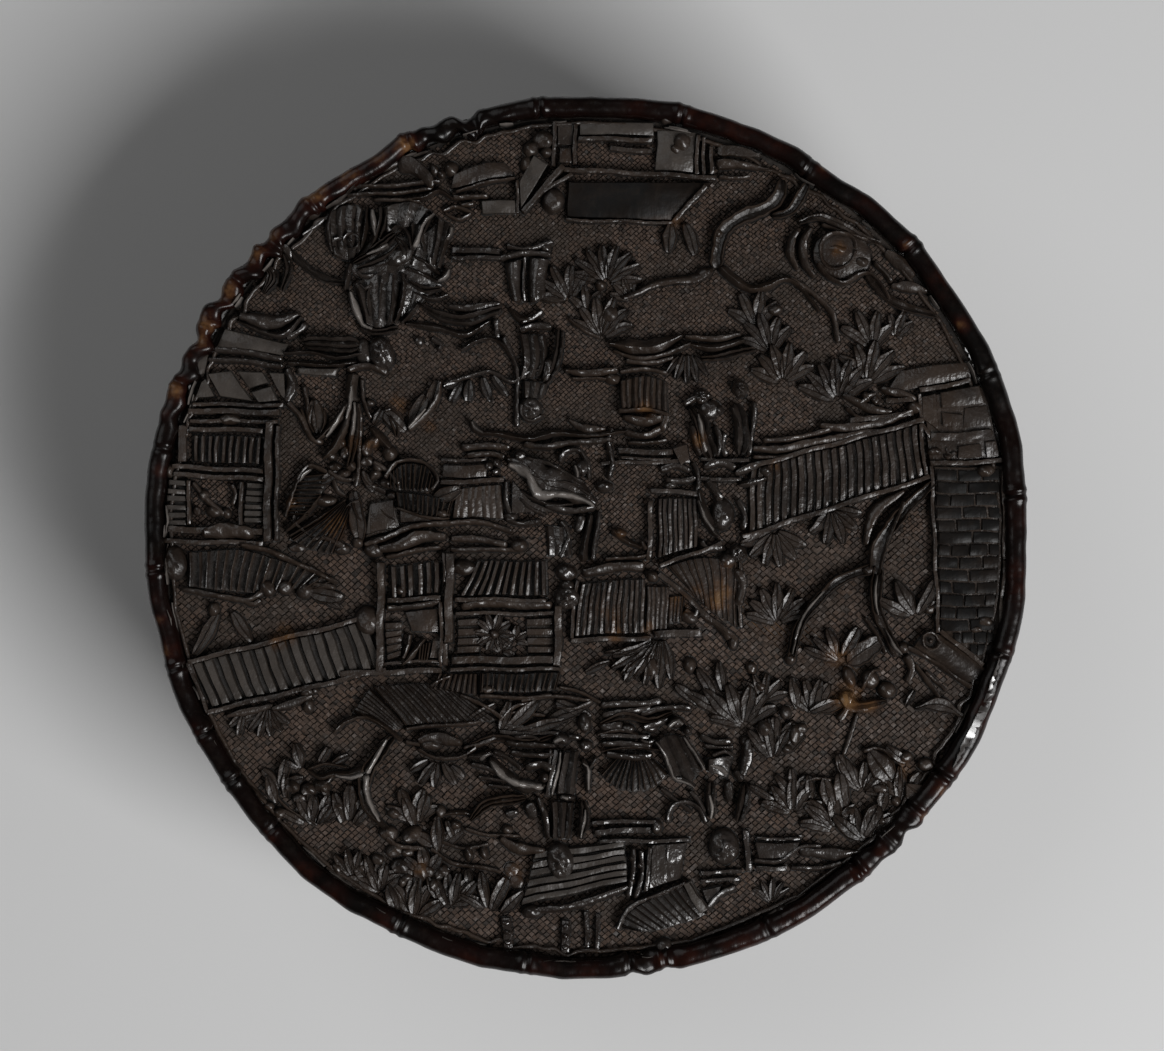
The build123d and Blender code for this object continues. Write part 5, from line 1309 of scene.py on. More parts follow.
def brickCourses(wall):
    # rows of flat blocks whose upright joints change from row to row; the lowest rows start on a slope
    shells = []
    for k in range(wall["rows"]):
        y0 = wall["top"] + wall["course"] * k
        y1 = y0 + wall["course"] - wall["joint"]
        x0 = wall["leftTop"] + (wall["leftLow"] - wall["leftTop"]) * k / wall["rows"]
        x0 += max(0, y1 - wall["slopeFrom"]) * wall["slope"]
        x1 = wall["right"] - max(0, y1 - wall["bendFrom"]) * wall["bend"]
        at = x0 + (x1 - x0) * np.r_[0, wall["cuts"][k % len(wall["cuts"])], 1]
        for a, b in zip(at[:-1], at[1:]):
            if b - a > wall["least"]:
                end = b - wall["joint"]
                rise = wall["height"] * (1 + wall["uneven"] * math.sin(7.3 * k + a))
                shells.append(panel((a, y0, end, y0), (a, y1, end, y1), rise, "flat"))
    return shells


makePiece("lidBricks", brickCourses(brickWall), onLid, blackShell, "lid",
          glow=carvingGlow)
brickBed = dict(
    plates=(
        ((934, 467, 1003, 466), (940, 632, 1000, 655), 0.36),
        ((942, 632, 1000, 650), (981, 664, 998, 660), 0.36)),
)
lidMotif("lidBrickBed", brickBed)
wallHouse = dict(
    plates=(
        ((922, 397, 986, 387), (930, 462, 1000, 458), 0.62),
        ((900, 370, 969, 361), (884, 394, 972, 378), 0.6),
        ((940, 392, 980, 386), (941, 408, 985, 404), 0.85),
        ((922, 398, 936, 393), (922, 420, 938, 432), 1.0),
        ((941, 411, 962, 414), (942, 426, 958, 426), 0.95),
        ((964, 408, 986, 406), (962, 428, 992, 427), 0.8),
        ((958, 446, 981, 443), (958, 458, 982, 457), 0.95),
        ((985, 442, 996, 441), (986, 458, 998, 457), 0.85)),
    panels=(((911, 648, 924, 635, 941, 634), (966, 683, 977, 679, 986, 668), 1.0, "trough"),),
    bars=(
        (930, 438, 993, 434, 9, 1.05), (930, 464, 1001, 461, 5, 1.0), (931, 466, 938, 633, 4, 1.0),
        (1003, 463, 1004, 560, 4, 0.95), (1004, 560, 998, 652, 4, 0.95), (940, 630, 983, 666, 5, 1.05),
        (885, 400, 914, 400, 5, 0.85), (920, 391, 971, 380, 5, 0.9), (920, 394, 921, 424, 4, 0.9),
        (921, 424, 931, 438, 4, 0.9)),
    bead=(
        ((905, 647, 940, 666, 971, 687), 5, 1.25), ((914, 664, 930, 685, 939, 699), 5, 0.85),
        ((925, 672, 946, 691), 4, 0.7), ((905, 655, 912, 670, 906, 682), 7, 0.9),
        ((945, 448, 950, 456, 958, 452), 5, 0.9)),
    leaf=(((914, 708, 940, 705, 964, 717), (3, 16, 3), 0.85),),
    rings=((930, 641, 8, 4, 1.25),),
    knobs=(
        (930, 641, 3, 3, 1.1), (985, 471, 10, 7, 1.3), (935, 452, 8, 5, 1.1), (948, 457, 5, 4, 1.1),
        (985, 622, 8, 6, 1.0), (976, 630, 7, 4, 0.9)),
)
lidMotif("lidWallHouse", wallHouse)

# Tree by the right wall
rightTree = dict(
    trough=(
        ((934, 482, 915, 500, 895, 520, 882, 540, 876, 560, 873, 577), (8, 11, 14, 15, 16, 14), 1.2),
        ((874, 569, 855, 573, 838, 580, 822, 595, 806, 615, 796, 635, 790, 659),
            (11, 10, 10, 10, 9, 9, 9), 1.15), ((877, 566, 876, 590, 878, 615, 887, 635, 898, 656),
            (13, 12, 11, 10, 9), 1.2)),
    bead=(
        ((905, 490, 881, 505, 870, 520, 866, 546), (5, 10, 10, 5), 0.85),
        ((864, 618, 876, 635, 886, 653), 4.5, 0.75), ((905, 500, 893, 525, 886, 545), 4, 1.3)),
    knobs=((868, 571, 8, 6, 1.2), (903, 648, 7, 6, 1.1), (790, 660, 6, 6, 0.9)),
    leaves=((848, 664, 38, 42, 22),),
)
lidMotif("lidRightTree", rightTree)

# Leaf sprays of the right half
rightLeaves = dict(
    fans=(
        (757, 328, 100, 96, 4, 36, 11, 0.9), (771, 351, 105, 110, 5, 36, 11, 0.9),
        (783, 383, 92, 130, 6, 38, 12, 0.95), (838, 401, 95, 130, 7, 42, 12, 0.95),
        (868, 384, 80, 110, 5, 42, 12, 0.95), (872, 349, 95, 96, 4, 38, 11, 0.9),
        (778, 623, 92, 150, 7, 36, 11, 0.9), (762, 701, 92, 150, 6, 28, 9, 0.85),
        (795, 801, 112, 90, 4, 30, 9, 0.8), (772, 903, 90, 100, 5, 24, 6, 0.65),
        (895, 338, 70, 60, 3, 26, 9, 0.8)),
    leaves=(
        (915, 615, 120, 40, 14, 1.0), (918, 615, 62, 40, 14, 1.0), (911, 615, 155, 36, 13),
        (924, 613, 38, 20, 8), (838, 661, 160, 38, 9), (837, 660, 137, 33, 9), (836, 656, 106, 30, 10),
        (843, 656, 62, 32, 14, 1.0), (797, 709, 98, 32, 11), (810, 715, 72, 38, 12),
        (836, 700, 205, 30, 11), (738, 723, 135, 50, 13, 1.0), (741, 723, 110, 42, 14, 1.0),
        (745, 723, 82, 38, 14, 1.0), (730, 716, 152, 52, 12), (715, 699, 118, 36, 11),
        (722, 691, 95, 30, 10), (700, 706, 140, 32, 11), (772, 757, 96, 40, 11, 0.95),
        (774, 757, 62, 32, 10), (769, 757, 128, 34, 10), (896, 784, 130, 44, 22, 1.0),
        (897, 803, 86, 38, 9), (833, 812, 105, 38, 14, 0.95), (843, 808, 95, 36, 16, 0.95),
        (829, 823, 145, 30, 13), (861, 839, 140, 38, 14, 0.95), (858, 837, 100, 30, 13),
        (863, 837, 65, 36, 18, 1.0), (870, 838, 38, 38, 13), (857, 786, 122, 34, 13),
        (906, 763, 140, 28, 11), (880, 812, 80, 30, 12), (845, 776, 110, 24, 12),
        (812, 800, 100, 26, 10), (775, 800, 150, 30, 9), (905, 705, 60, 18, 6), (672, 222, 262, 32, 13),
        (686, 222, 286, 34, 13)),
    knobs=(
        (775, 309, 8, 6, 1.0), (849, 677, 6, 11, 1.1, 15), (870, 680, 9, 10, 1.1),
        (886, 690, 10, 9, 1.0), (765, 728, 8, 9, 1.2), (795, 735, 6, 12, 1.1), (787, 749, 6, 5, 1.1),
        (905, 757, 7, 6, 1.0), (925, 765, 9, 7, 1.0), (868, 858, 9, 9, 1.5), (853, 868, 6, 6, 1.2),
        (760, 686, 6, 6, 0.9), (930, 610, 6, 5, 0.9), (752, 668, 6, 7, 0.8), (785, 712, 6, 7, 0.9),
        (745, 742, 6, 6, 0.8), (895, 800, 6, 6, 0.9), (880, 788, 9, 6, 0.9)),
    bark=(((842, 691, 850, 704, 863, 707, 887, 702), (13, 15, 11, 8), 1.0),),
    bead=(
        ((861, 690, 872, 672, 881, 669), 4, 1.1), ((850, 690, 845, 710, 838, 720), 7, 0.8),
        ((858, 712, 850, 735, 842, 755), 4, 0.5), ((905, 784, 926, 801), 4, 1.05),
        ((800, 785, 815, 778, 832, 780), 4, 0.7), ((862, 752, 878, 748, 892, 756), 4, 0.8)),
    twoFolds=(((880, 835, 905, 818, 925, 808), (7, 10, 6), 1.0),),
    plates=(((905, 783, 935, 786), (905, 798, 928, 806), 0.95),),
)
lidMotif("lidRightLeaves", rightLeaves)

# Tree and rock at the upper right
upperRightTree = dict(
    trough=(
        ((783, 178, 777, 197, 763, 209, 741, 217, 723, 230, 718, 250, 717, 268),
            (12, 14, 15, 15, 15, 15, 13), 1.25), ((808, 183, 800, 196, 790, 210, 773, 215),
            (10, 11, 10, 6), 1.05), ((866, 274, 880, 290, 892, 300, 912, 309, 938, 317), (6, 9, 9, 8, 4),
            1.1)),
    ridge=(
        ((720, 266, 735, 280, 751, 288, 769, 285, 785, 279, 797, 283, 809, 297, 819, 312),
            (12, 10, 10, 9, 7, 6, 5, 3), 1.15),),
    bead=(
        ((790, 278, 812, 292, 830, 310, 836, 323, 838, 342), (5, 6, 6, 6, 5), 0.95),
        ((714, 268, 695, 277, 675, 280, 655, 284, 640, 290, 621, 298), (9, 9, 8, 7, 6, 4), 1.0),
        ((801, 227, 792, 240, 790, 256, 798, 270), (5, 8, 8, 5), 1.1),
        ((813, 227, 803, 242, 804, 262, 815, 277), (5, 9, 9, 5), 1.3),
        ((816, 262, 830, 277, 845, 283, 858, 276, 870, 273, 880, 284, 889, 299), 4.5, 1.35),
        ((822, 224, 850, 234, 868, 241), 4.5, 0.95), ((885, 250, 900, 262, 915, 278), (8, 13, 8), 0.85),
        ((890, 285, 910, 287, 928, 292), (6, 12, 6), 0.75), ((875, 262, 884, 270, 892, 282), 6, 1.0)),
    leaf=(((799, 223, 822, 217, 846, 226, 863, 238, 882, 243), (4, 8, 9, 8, 4), 1.05),),
    rings=((838, 250, 18, 5, 1.4),),
    knobs=(
        (842, 255, 31, 25, 1.15, -10, 0.45), (838, 249, 14, 6, 1.45, -8), (705, 272, 8, 6, 1.15),
        (718, 232, 5, 6, 1.1), (862, 262, 9, 7, 1.3)),
)
lidMotif("lidUpperRightTree", upperRightTree)

# Leaf sprays of the upper middle
upperLeaves = dict(
    fans=(
        (606, 283, 85, 156, 8, 38, 10, 0.95), (568, 299, 115, 124, 5, 34, 11, 0.9),
        (601, 337, 85, 130, 6, 38, 11, 0.95), (588, 312, 100, 80, 3, 26, 9, 0.85),
        (630, 300, 120, 90, 4, 24, 8, 0.75)),
    knobs=((611, 314, 9, 9, 1.1), (600, 285, 6, 6, 0.9)),
    bead=(((568, 318, 585, 330, 600, 337), 4, 0.8),),
)
lidMotif("lidUpperLeaves", upperLeaves)

# Tree, pods and leaf sprays of the lower left
lowerLeftLeaves = dict(
    trough=(
        ((394, 736, 379, 754, 368, 768, 364, 785, 366, 805, 376, 820, 387, 829),
            (7, 10, 14, 13, 11, 9, 5), 1.25),),
    ridge=(
        ((365, 769, 350, 775, 335, 774, 320, 777, 307, 769), (9, 8, 7, 6, 4), 1.1),
        ((308, 769, 325, 763, 346, 768), (3, 5, 3), 0.85)),
    bead=(
        ((333, 774, 326, 782, 316, 783), 4, 0.9), ((430, 849, 450, 862, 480, 868, 501, 872), 4.5, 0.7),
        ((440, 842, 465, 848, 490, 845), 4, 0.7), ((500, 838, 515, 847, 546, 851), (8, 12, 7), 1.2),
        ((385, 838, 400, 846, 425, 850), 6, 0.8), ((325, 880, 345, 892, 370, 898), 4, 0.6),
        ((465, 828, 490, 836, 520, 836), 4, 0.6), ((270, 790, 290, 812, 318, 826), 3.5, 0.5)),
    rocks=(
        (511, 869, 8, 7, 0.32, 20), (516, 882, 8, 7, 0.3, -30), (292, 787, 8, 7, 0.95),
        (308, 790, 9, 7, 0.9, 20), (322, 786, 9, 7, 1.0, -15), (388, 833, 10, 8, 1.0),
        (412, 834, 11, 9, 1.0, 25), (400, 866, 10, 8, 0.9), (420, 872, 9, 11, 0.95),
        (441, 872, 9, 8, 0.8, 30), (299, 800, 8, 6, 0.75)),
    knobs=(
        (252, 803, 7, 9, 1.1, 30), (268, 806, 6, 5, 0.9), (279, 813, 7, 6, 0.9), (393, 813, 7, 6, 0.9),
        (456, 825, 6, 5, 1.2), (468, 853, 5, 9, 1.1), (484, 853, 5, 8, 1.1), (408, 852, 7, 5, 1.0),
        (402, 882, 6, 6, 0.9), (440, 812, 6, 7, 0.9), (336, 868, 5, 7, 0.9, 30), (378, 860, 7, 6, 0.9),
        (434, 885, 6, 8, 1.0), (507, 830, 6, 5, 0.8)),
    leaves=(
        (301, 769, 106, 26, 11), (318, 766, 62, 22, 9), (330, 765, 28, 20, 8), (298, 769, 158, 20, 8),
        (276, 803, 108, 30, 10), (285, 799, 88, 26, 9), (266, 806, 130, 26, 9), (312, 825, 120, 32, 11),
        (311, 825, 86, 30, 12), (318, 825, 60, 24, 10), (304, 825, 150, 32, 9), (342, 823, 106, 32, 11),
        (348, 821, 86, 36, 14), (353, 825, 48, 22, 11), (414, 827, 108, 32, 12), (418, 823, 72, 30, 13),
        (400, 917, 112, 36, 12, 0.95), (413, 919, 82, 42, 13, 1.0), (419, 917, 38, 28, 11),
        (438, 853, 92, 34, 12, 0.95), (446, 905, 110, 30, 10), (452, 905, 78, 34, 11, 0.95),
        (459, 903, 50, 28, 11), (440, 901, 118, 28, 9), (488, 909, 102, 38, 10, 0.95),
        (492, 911, 68, 38, 14, 1.0), (501, 913, 45, 32, 11), (484, 909, 150, 32, 7),
        (435, 762, 235, 28, 10), (437, 762, 264, 26, 10), (443, 762, 300, 26, 10),
        (451, 765, 315, 20, 8), (428, 761, 210, 22, 8), (330, 800, 120, 20, 8), (470, 888, 100, 20, 8)),
    fans=(
        (352, 881, 100, 150, 7, 30, 9, 0.9), (379, 893, 95, 110, 4, 28, 12, 0.9),
        (425, 881, 95, 140, 5, 30, 12, 0.9), (455, 842, 110, 80, 3, 20, 8, 0.8)),
)
lidMotif("lidLowerLeftLeaves", lowerLeftLeaves)

# People at the bottom, left of the middle: one reclining, one standing head downwards
lowerPeople = dict(
    ridge=(
        ((489, 757, 497, 768, 512, 778, 521, 786, 536, 788, 547, 785), (8, 11, 11, 11, 11, 6), 1.5),
        ((467, 756, 480, 757, 491, 751), (4, 10, 4), 1.2),
        ((582, 759, 588, 770, 588, 793), (5, 6, 4), 1.2)),
    bead=(
        ((492, 752, 505, 756, 521, 769), 5.5, 1.2), ((478, 778, 500, 780, 522, 782), 4, 0.8),
        ((488, 786, 511, 787), 4, 0.8), ((505, 742, 530, 745, 556, 747), 6, 1.05),
        ((510, 752, 535, 756, 559, 756), 6, 1.1), ((524, 769, 540, 765, 554, 771), 9, 1.2),
        ((514, 737, 530, 736, 541, 741), 4.5, 1.0), ((567, 737, 581, 737), 5, 1.0),
        ((597, 757, 590, 768), 4, 1.1), ((529, 801, 533, 819), 11, 1.05),
        ((505, 816, 519, 811), 7, 0.95), ((538, 797, 544, 815, 548, 839), 6.5, 1.2),
        ((550, 749, 547, 772), 5, 1.1), ((470, 765, 485, 768, 498, 774), 5, 0.9)),
    twoFolds=(((582, 799, 585, 820, 580, 839), (8, 11, 8), 1.3),),
    bars=((556, 750, 548, 797, 5, 1.15), (500, 732, 560, 734, 4, 0.7), (505, 726, 550, 727, 3, 0.6)),
    panels=(
        ((562, 752, 579, 750), (556, 794, 575, 793), 1.3, "twoFolds"),
        ((550, 802, 573, 802), (552, 839, 571, 839), 1.15, "threeFolds")),
    knobs=(
        (562, 739, 8, 6, 1.3), (585, 722, 7, 11, 1.2), (567, 797, 9, 4, 1.3), (545, 778, 6, 6, 1.3),
        (585, 745, 7, 6, 1.0)),
    heads=((560, 861, 14, 18, 1.6, -90),),
)
lidMotif("lidLowerPeople", lowerPeople, glossShell)
stairs = dict(
    panels=(((536, 851, 521, 906), (624, 841, 627, 882), 0.88, slatSection(6, 0.14, 0.6)),),
    plates=(((682, 883, 690, 879), (700, 912, 709, 908), 1.15),),
)
lidMotif("lidStairs", stairs, boardSheenShell)

# Bands, fan and tall figure at the bottom, right of the middle
lowerFigure = dict(
    bead=(
        ((600, 705, 640, 704, 662, 700), 7.5, 0.9), ((602, 716, 630, 712, 652, 708), 7.5, 0.9),
        ((600, 728, 613, 727, 624, 726), 9, 1.0), ((600, 745, 630, 744, 653, 746), 6.5, 0.95),
        ((605, 755, 635, 757, 653, 755), 7, 1.1), ((640, 715, 660, 708, 692, 709), 6, 0.95),
        ((642, 728, 655, 724, 669, 719), 7, 1.2), ((656, 741, 664, 752, 670, 768, 675, 779), 4.5, 1.55),
        ((684, 737, 694, 752, 704, 767), 5, 1.55), ((674, 778, 686, 780, 695, 787), 4.5, 1.5),
        ((711, 755, 725, 752, 735, 758), 4.5, 1.4), ((746, 738, 746, 758, 742, 776), (8, 11, 8), 1.1),
        ((728, 781, 728, 802), 8, 1.0), ((667, 823, 672, 808, 685, 802, 698, 808, 705, 823), 5, 1.0),
        ((661, 789, 675, 800, 691, 813), 4.5, 0.9), ((634, 847, 632, 870, 628, 896), 5.5, 1.05),
        ((641, 849, 641, 872, 635, 897), 5.5, 1.05),
        ((617, 931, 626, 912, 640, 901, 665, 892, 686, 882), 5, 1.15),
        ((688, 881, 700, 897, 709, 909), 4, 1.3), ((706, 909, 720, 895, 737, 887), 6.5, 1.0),
        ((752, 860, 780, 860, 800, 848, 822, 846), 5, 1.0),
        ((799, 852, 830, 853, 864, 852), (8, 13, 4), 1.0), ((790, 868, 815, 868, 842, 862), 5, 0.8),
        ((525, 912, 560, 908, 600, 898, 629, 886), (6, 8, 8, 6), 1.05),
        ((700, 735, 715, 742, 732, 742), 7, 0.9), ((703, 745, 718, 748, 733, 748), 5, 0.9),
        ((690, 790, 698, 800, 704, 812), 5, 1.0), ((640, 738, 648, 742, 657, 740), 4, 1.1),
        ((735, 770, 742, 782), 7, 1.1)),
    twoFolds=(
        ((712, 781, 710, 800, 712, 817), (9, 11, 8), 1.2),
        ((746, 783, 742, 805, 738, 822), (9, 12, 9), 1.3)),
    bars=(
        (592, 822, 655, 821, 4, 0.85), (595, 832, 650, 829, 6, 0.95), (600, 841, 690, 840, 4, 0.85),
        (651, 846, 645, 891, 4, 1.15), (668, 843, 668, 861, 2.5, 1.1), (755, 867, 786, 868, 5, 0.95),
        (746, 830, 748, 871, 6, 0.95), (700, 872, 742, 871, 3.5, 0.7), (700, 880, 740, 879, 3.5, 0.7),
        (506, 917, 508, 949, 10, 0.7), (565, 920, 566, 953, 9, 0.7), (585, 911, 588, 946, 4, 0.6),
        (597, 914, 598, 949, 4, 0.6), (600, 736, 650, 736, 4, 0.8), (757, 838, 800, 838, 3, 0.8)),
    panels=(
        ((651, 844, 668, 843, 687, 843), (646, 889, 664, 883, 680, 878), 0.95, "slab"),
        ((657, 742, 668, 735, 686, 738), (674, 778, 688, 783, 703, 768), 1.25, "threeFolds"),
        ((706, 758, 733, 756), (708, 771, 728, 779), 1.3, "bead"),
        ((620, 928, 628, 913, 640, 904, 662, 894, 685, 885),
            (640, 931, 660, 929, 675, 925, 690, 920, 708, 912), 1.0, ribSection(11, 0.5))),
    plates=(
        ((755, 842, 800, 842), (758, 858, 795, 856), 0.85),
        ((702, 889, 722, 886), (708, 905, 716, 900), 0.75)),
    knobs=(
        (629, 729, 7, 5, 1.2), (652, 728, 7, 4, 1.2), (676, 723, 9, 6, 1.55), (688, 731, 5, 4, 1.4),
        (656, 826, 6, 8, 1.1), (533, 912, 11, 7, 1.15), (506, 922, 6, 4, 1.0), (507, 932, 6, 4, 1.0),
        (508, 942, 6, 4, 1.0), (565, 926, 5, 4, 1.0), (565, 936, 5, 4, 1.0), (566, 947, 5, 4, 1.0),
        (663, 945, 9, 8, 1.3), (650, 952, 7, 5, 1.0), (783, 911, 8, 7, 1.2), (632, 858, 4, 4, 1.2),
        (640, 864, 4, 4, 1.2), (631, 880, 4, 4, 1.2)),
    heads=((724, 846, 15, 19, 1.65, -90),),
)
lidMotif("lidLowerFigure", lowerFigure, glossShell)


# Fuller sprays along the lower edge
lowSprays = dict(
    fans=(
        (746, 727, 100, 130, 6, 40, 12), (775, 757, 90, 110, 5, 38, 13), (812, 714, 80, 120, 4, 34, 12),
        (792, 814, 90, 140, 5, 34, 11), (834, 830, 110, 120, 4, 36, 13), (868, 842, 85, 130, 5, 36, 13),
        (862, 792, 70, 150, 6, 30, 10), (905, 800, 120, 120, 4, 32, 11), (318, 824, 90, 110, 4, 30, 11),
        (352, 822, 80, 100, 4, 30, 11), (412, 822, 90, 120, 4, 32, 12), (440, 852, 95, 100, 3, 34, 13),
        (412, 917, 90, 120, 5, 36, 13), (372, 888, 100, 130, 5, 30, 11), (280, 792, 80, 100, 3, 30, 11),
        (448, 905, 70, 120, 4, 32, 12)),
    rocks=(
        (760, 745, 9, 6, 0.7), (800, 730, 8, 6, 0.7, 30), (848, 812, 9, 7, 0.7), (880, 822, 8, 6, 0.75),
        (336, 806, 9, 6, 0.7), (395, 850, 10, 7, 0.75, 20), (425, 872, 10, 7, 0.8),
        (405, 880, 8, 6, 0.8, 40), (360, 870, 9, 6, 0.65)),
)
lidMotif("lidLowSprays", lowSprays)

# Leaves, rolled cloth and an open fan that fill the lower middle
lowerShade = dict(
    twoFolds=(
        ((470, 745, 500, 738, 530, 742, 556, 736), (4, 9, 8, 4), 0.9),
        ((600, 724, 625, 716, 650, 720, 672, 712), (4, 9, 8, 4), 1.0)),
    ridge=(
        ((596, 735, 620, 730, 640, 735), (4, 8, 4), 0.9),
        ((600, 752, 634, 746, 668, 752), (3, 5, 3), 0.9),
        ((440, 815, 462, 812, 480, 818), (3, 6, 3), 0.7)),
    threeFolds=(((470, 820, 484, 806, 505, 800, 527, 797), (5, 11, 12, 8), 1.15),),
    panels=(
        ((622, 752, 646, 752), (600, 774, 618, 789, 650, 789, 668, 774), 0.7, ribSection(13, 0.5)),),
    leaves=(
        (505, 732, 45, 46, 13), (510, 733, 12, 60, 12), (500, 734, 75, 34, 10), (545, 722, 20, 44, 12),
        (592, 716, 160, 40, 11), (466, 722, 30, 34, 10)),
)
lidMotif("lidLowerShade", lowerShade)

# Polished stretch of the edging that faces the lamp
facet = profile((-1, 0), (-0.98, 0.985), (-0.85, 1.0), (0.85, 0.845), (0.98, 0.8), (1, 0))
edgePolish = dict(strokes=(((951, 768, 973, 727, 989, 692, 1001, 652), (4, 10, 9, 3), 1.99, facet),))
makePiece("lidEdgePolish", carve(edgePolish), onLid, slickShell, "lid")


# Chips: first degree, last degree and number; length in degrees, widths in px, the rest in mm
chip = dict(
    stretches=((100, 262, 34), (262, 340, 10), (20, 100, 8)), radius=(41.7, 42.2), length=(1.6, 4.6),
    wide=(3, 6), tip=2, wander=1, out=0.3, pixelMm=0.0997)


def edgeChips(edge, seed):
    # short pale nicks that follow the edging's inner shoulder, thickest where the edging is worn
    chance = np.random.default_rng(seed)
    shells = []
    middleX, middleY = picture["centre"]
    for turn in np.concatenate([chance.uniform(*stretch) for stretch in chip["stretches"]]):
        r = chance.uniform(*chip["radius"])
        a = np.radians(turn + np.linspace(0, chance.uniform(*chip["length"]), 3))
        wave = r / chip["pixelMm"] + chance.uniform(-chip["wander"], chip["wander"], 3)
        points = np.column_stack([middleX + wave * np.cos(a), middleY - wave * np.sin(a)])
        across = min(abs(r * mm - edge["outer"] + edge["wide"]) / edge["wide"], 1.0)
        rise = (edge["height"] - groundZ) / mm + edge["tall"] / mm * math.sqrt(1 - across ** 2)
        widths = (chip["tip"], chance.uniform(*chip["wide"]), chip["tip"])
        shells.append(stroke(points, widths, rise + chip["out"], "ridge"))
    return shells


makePiece("lidEdgeChips", edgeChips(topEdge, 11), onLid, wornAndHighlightShell, "lid")
print("lid carved")


# Edgings at the foot and on both sides of the mouth
footEdge = dict(
    joints=tuple(k * 18 + 5 * math.sin(2.3 * k) for k in range(20)), outer=44.0 * mm, height=1.3 * mm,
    wide=1.42 * mm, tall=1.65 * mm, lowest=0.0, highest=2.62 * mm, lipAway=0.5, lipWide=0.34,
    grooveWide=0.22, swell=0.07, groove=0.1, waist=0.04, straight=0.3, lean=0.0, rough=0.16 * mm)
baseFootEdge = makePiece("baseFootEdge", [bambooRing(footEdge, turns=1440, sides=22)], asIs, bambooShell,
                         "base", crease=60, uneven=0)
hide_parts("base_foot_edging")
baseMouth = dict(
    joints=tuple(k * 18 + 9 + 4 * math.sin(1.9 * k) for k in range(20)), outer=43.4 * mm,
    height=17.3 * mm, wide=0.66 * mm, tall=0.9 * mm, lowest=16.3 * mm, highest=17.99 * mm, lipAway=0.36,
    lipWide=0.22, grooveWide=0.16, swell=0.1, groove=0.14, waist=0.05, straight=0.2, lean=0.0,
    rough=0.08 * mm)
baseMouthEdge = makePiece("baseMouthEdge", [bambooRing(baseMouth, turns=1200, sides=18)], asIs,
                          bambooShell, "base", crease=60, uneven=0)
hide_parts("base_mouth_edging")
lidMouth = dict(
    baseMouth, joints=tuple(k * 18 + 4 * math.sin(2.7 * k) for k in range(20)), height=18.7 * mm,
    lowest=18.01 * mm, highest=19.7 * mm)
lidMouthEdge = makePiece("lidMouthEdge", [bambooRing(lidMouth, turns=1200, sides=18)], asIs, bambooShell,
                         "lid", crease=60, uneven=0)
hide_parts("lid_mouth_edging")

# Walls: the same cut ground, with a scrolling vine round the lid and a garden round the base
around = 2 * math.pi * wallRadius / (0.1 * mm)   # tenths of a mm
wallCut = dict(columns=300, high=8.0)


def wallPads(top, low, seed):
    # diamonds in whole numbers round the wall, from its top edging down to its low one
    w, h = around / wallCut["columns"], wallCut["high"]
    x, y = padLattice(wallCut["columns"], int((top - low) / mm * 10 / (h / 2)) - 1, w, h)
    return padField(x, y + h / 2, w, h, ground["rise"] + ground["low"], seed)


def repeated(shells, times, pitch):
    # the same carved forms set again at even steps along the wall
    out = []
    for k in range(times):
        for points, quads, tris, lifts in shells:
            moved = points.copy()
            moved[:, 0] += k * pitch
            out.append((moved, quads, tris, lifts))
    return out


def turnedRing(inner, outer, low, high, turns=240):
    # a rectangle carried round the box's axis
    a = np.linspace(0, 2 * math.pi, turns + 1)[:-1]
    r, z = np.array([inner, outer, outer, inner]), np.array([low, low, high, high])
    points = np.stack([r * np.cos(a)[:, None], r * np.sin(a)[:, None], np.repeat(z[None], turns, 0)], -1)
    return points.reshape(-1, 3), loopQuads(turns, 4), np.zeros((0, 3), int), np.zeros(4 * turns)


lidBand = dict(top=27.2 * mm, low=19.3 * mm, repeats=12)
lidVine = dict(
    ridge=(
        ((0, 40, 28, 60, 56, 58, 84, 40, 111, 20, 139, 22, 166, 40, 194, 60, 222, 40),
            (5, 6, 6, 6, 6, 6, 6, 6, 5), 0.75),),
    bead=(
        ((52, 58, 66, 44, 58, 30, 46, 34), (5, 4, 4, 3), 0.6),
        ((136, 22, 150, 36, 142, 52, 128, 48), (5, 4, 4, 3), 0.6)),
    fans=((50, 30, 95, 320, 7, 15, 8, 0.7), (133, 50, -85, 320, 7, 15, 8, 0.7)),
    knobs=(
        (50, 30, 4, 4, 0.9), (133, 50, 4, 4, 0.9), (82, 64, 4, 4, 0.6), (166, 14, 4, 4, 0.6),
        (90, 68, 3.5, 3.5, 0.6), (12, 14, 4, 4, 0.6)),
    leaves=(
        (20, 52, 235, 20, 9, 0.65), (30, 60, 290, 18, 8, 0.6), (80, 42, 60, 24, 10, 0.7),
        (96, 30, 200, 22, 9, 0.65), (104, 24, 120, 18, 8, 0.6), (168, 40, 320, 24, 10, 0.7),
        (172, 46, 60, 20, 9, 0.65), (196, 60, 240, 20, 9, 0.65), (206, 54, 80, 26, 10, 0.7)),
)
place = onWall(wallRadius, lidBand["top"])
makePiece("lidWallGround", [wallPads(lidBand["top"], lidBand["low"], 11)], place, wallShell, "lid",
          crease=30, uneven=0)
makePiece("lidWallVine", repeated(carve(lidVine), lidBand["repeats"], around / lidBand["repeats"]),
          place, carvedShell, "lid")

